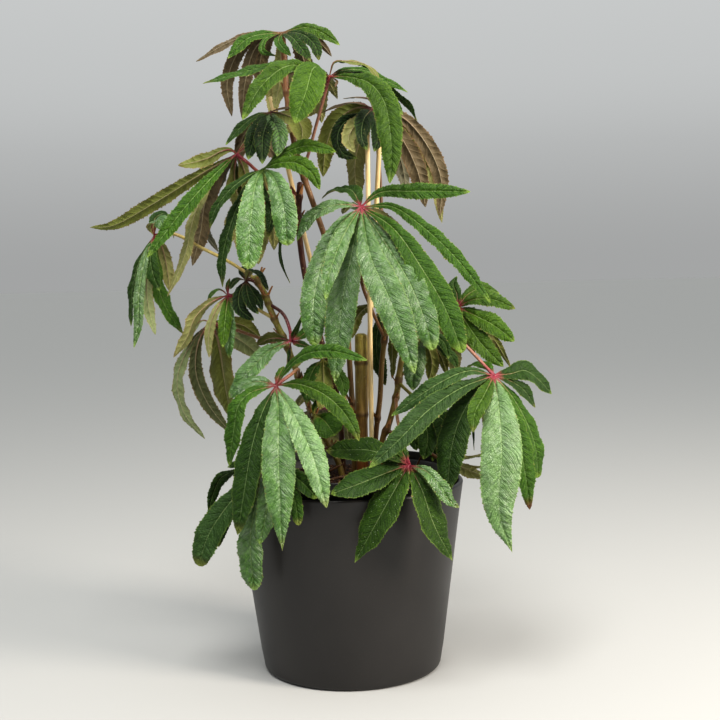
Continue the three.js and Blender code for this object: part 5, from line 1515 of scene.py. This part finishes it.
def stipule_material():
    """Dead stipule: papery, light brown, with fine lengthwise ribs."""
    material, tree, _ = new_material("dry papery stipule", {"Roughness": 0.75, "IOR": 1.45})
    place = add(tree, "ShaderNodeTexCoord")["Object"]
    drawn = add(tree, "ShaderNodeMapping", {"Vector": place, "Scale": (1.0, 1.0, 0.15)})[0]
    ribs = patches(tree, drawn, 0.8 * MM, 2.0, 0.35, 0.65)
    return finished(material, opaque("#a8794a"), [(ribs, "#6b4527")], ribs, 0.4, 0.3 * MM)


def cover_pot_material():
    """Charcoal cover pot of coated plastic: even, satin, with a very fine tooth and faint wear."""
    material, tree, shader = new_material("charcoal satin coating", {
        "IOR": 1.5, "Specular IOR Level": 0.5,
    })
    place = add(tree, "ShaderNodeTexCoord")["Object"]
    cloud = patches(tree, place, 60 * MM, 4.0, 0.35, 0.65)
    dust = patches(tree, place, 1.5 * MM, 3.0, 0.62, 0.8, 0.0, 0.25)
    gloss = add(tree, RANGE, {0: cloud, 1: 0.0, 2: 1.0, 3: 0.38, 4: 0.47})[0]
    tree.links.new(gloss, shader.inputs["Roughness"])
    tooth = add(tree, NOISE, {"Vector": place, "Scale": 1 / (0.6 * MM), "Detail": 2.0})["Fac"]
    layers = [(cloud, "#242221"), (dust, "#45423f")]
    return finished(material, opaque("#1e1c1b"), layers, tooth, 0.08, 0.1 * MM)


def growing_pot_material():
    """Black nursery pot of moulded polypropylene: thin, slightly dusty, with a dull shine."""
    material, tree, shader = new_material("black moulded polypropylene", {
        "IOR": 1.49, "Specular IOR Level": 0.5,
    })
    place = add(tree, "ShaderNodeTexCoord")["Object"]
    dust = patches(tree, place, 7 * MM, 5.0, 0.45, 0.75, 0.0, 0.5)
    gloss = add(tree, RANGE, {0: dust, 1: 0.0, 2: 0.5, 3: 0.4, 4: 0.65})[0]
    tree.links.new(gloss, shader.inputs["Roughness"])
    return finished(material, opaque("#161617"), [(dust, "#39332c")], dust, 0.1, 0.2 * MM)


def earth_material():
    """Moist peat with bark: dark red-brown, with some lighter chips."""
    material, tree, _ = new_material("moist peat and bark", {"Roughness": 0.85, "IOR": 1.4})
    place = add(tree, "ShaderNodeTexCoord")["Object"]
    kind = add(tree, ATTRIBUTE, attribute_name="kind")["Fac"]
    grain = patches(tree, place, 1.5 * MM, 4.0, 0.35, 0.7)
    pale = add(tree, RANGE, {0: kind, 1: 0.82, 2: 0.9, 3: 0.0, 4: 0.8})[0]
    black = add(tree, RANGE, {0: kind, 1: 0.35, 2: 0.1, 3: 0.0, 4: 0.7})[0]
    layers = [(grain, "#4a2e1d"), (pale, "#7d5a3c"), (black, "#140d09")]
    return finished(material, opaque("#2a1810"), layers, grain, 0.7, 0.6 * MM)


# The stage: floor, lights and camera


def set_stage():
    bpy.ops.mesh.primitive_plane_add(size=FLOOR_WIDTH)
    floor = bpy.context.object
    floor.name = "floor"
    material, _, _ = new_material("pale matt floor", {
        "Base Color": FLOOR_COLOUR, "Roughness": 0.9, "Specular IOR Level": 0.2,
    })
    floor.data.materials.append(material)

    # At their foot the studio's walls are as pale as the floor looks far away, and straight ahead
    # they are no dimmer on one side than on the other.
    world = bpy.data.worlds.new("pale studio")
    world.use_nodes = True
    sky = world.node_tree
    light = sky.nodes["Background"].inputs
    ahead = add(sky, "ShaderNodeTexCoord")["Generated"]
    ahead = add(sky, "ShaderNodeSeparateXYZ", {"Vector": ahead})
    low = add(sky, RANGE, {0: ahead["Z"], 1: 0.0, 2: WALL_FULL}, interpolation_type="SMOOTHSTEP")[0]
    glow = add(sky, MIX, {0: low, 6: WALL_FOOT_LIGHT, 7: WALL_LIGHT}, data_type="RGBA")[2]
    high = add(sky, RANGE, {0: ahead["Z"], 1: CEILING_FROM, 2: CEILING_FULL})[0]
    glow = add(sky, MIX, {0: high, 6: glow, 7: CEILING_LIGHT}, data_type="RGBA")[2]
    sky.links.new(glow, light["Color"])
    aside = add(sky, MATH, {0: ahead["X"], 1: 3.0}, operation="POWER")[0]
    strength = add(sky, RANGE, {0: aside, 1: -1.0, 2: 1.0, 3: LEFT_LIGHT, 4: RIGHT_LIGHT})[0]
    sky.links.new(strength, light["Strength"])
    bpy.context.scene.world = world
    bpy.context.scene.view_settings.view_transform = "Standard"
    bpy.context.scene.view_settings.look = "Medium High Contrast"

    for name, place, power, size, code in LAMPS:
        data = bpy.data.lights.new(name, "AREA")
        data.energy = power
        data.size = size
        data.color = linear(code)
        lamp = bpy.data.objects.new(name, data)
        bpy.context.scene.collection.objects.link(lamp)
        lamp.location = place
        lamp.rotation_euler = (LAMP_AIM - Vector(place)).to_track_quat("-Z", "Y").to_euler()


def set_camera():
    level = math.cos(PITCH)
    ahead = Vector((math.sin(YAW) * level, math.cos(YAW) * level, -math.sin(PITCH)))
    right = ahead.cross(Vector((0, 0, 1))).normalized()
    up = right.cross(ahead)
    turned_right = right * math.cos(ROLL) + up * math.sin(ROLL)
    turned_up = up * math.cos(ROLL) - right * math.sin(ROLL)
    data = bpy.data.cameras.new("camera")
    data.lens = LENS
    data.sensor_width = SENSOR
    camera = bpy.data.objects.new("camera", data)
    bpy.context.scene.collection.objects.link(camera)
    axes = Matrix((turned_right, turned_up, -ahead)).transposed().to_4x4()
    camera.matrix_world = Matrix.Translation((0.0, -EYE_BACK * MM, EYE_HEIGHT * MM)) @ axes
    bpy.context.scene.camera = camera


set_camera()
set_stage()

leaf_nodes = leaf_tree(leaf_top_material(), leaf_underside_material(), stalk_material())
for name, leaf in LEAVES.items():
    start = wire(name + "_wires", leaf_lines(leaf, random.Random(name)))
    put(name + "_living", grown(name + "_living", start, leaf_nodes, LEAF_SIZES), "leaf", name)

cane_nodes = rod_tree(cane_material())
stands = []
for name, cane in CANES.items():
    line, places = cane_line(name)
    stands += [(place, cane["radius"]) for place in places]
    start = wire(name + "_wire", [line])
    sides = THICK_CANE_SIDES if cane["radius"] > THICK_CANE_RADIUS else CANE_SIDES
    put(name + "_living", grown(name + "_living", start, cane_nodes, {"Sides": sides}), "cane", name)

stake_nodes = rod_tree(bamboo_material())
for name, ends in STAKES.items():
    start = wire(name + "_wire", [stake_line(ends)])
    stake = grown(name + "_split", start, stake_nodes, {"Sides": STAKE_SIDES})
    put(name + "_split", stake, "bamboo", name)

stipule_nodes = stipule_tree(stipule_material())
stipules = grown("dry_stipules", stipule_spots(stands), stipule_nodes, STIPULE_SIZES)
put("dry_stipules", stipules, "cane")
start = wire("twig_wires", [twig_line(twig) for twig in TWIGS])
put("dry_twigs", grown("dry_twigs", start, cane_nodes, {"Sides": TWIG_SIDES}), "cane")

cover = cover_pot_mesh()
cover.materials.append(cover_pot_material())
put("cover_pot_coated", cover, "cover_pot", "cover_pot")
growing = drilled(growing_pot_mesh())
growing.materials.append(growing_pot_material())
put("growing_pot_moulded", growing, "growing_pot", "growing_pot")
soil = grown("soil_crumbled", soil_bed(), soil_tree(earth_material()), SOIL_SIZES)
put("soil_crumbled", soil, "soil", "soil")
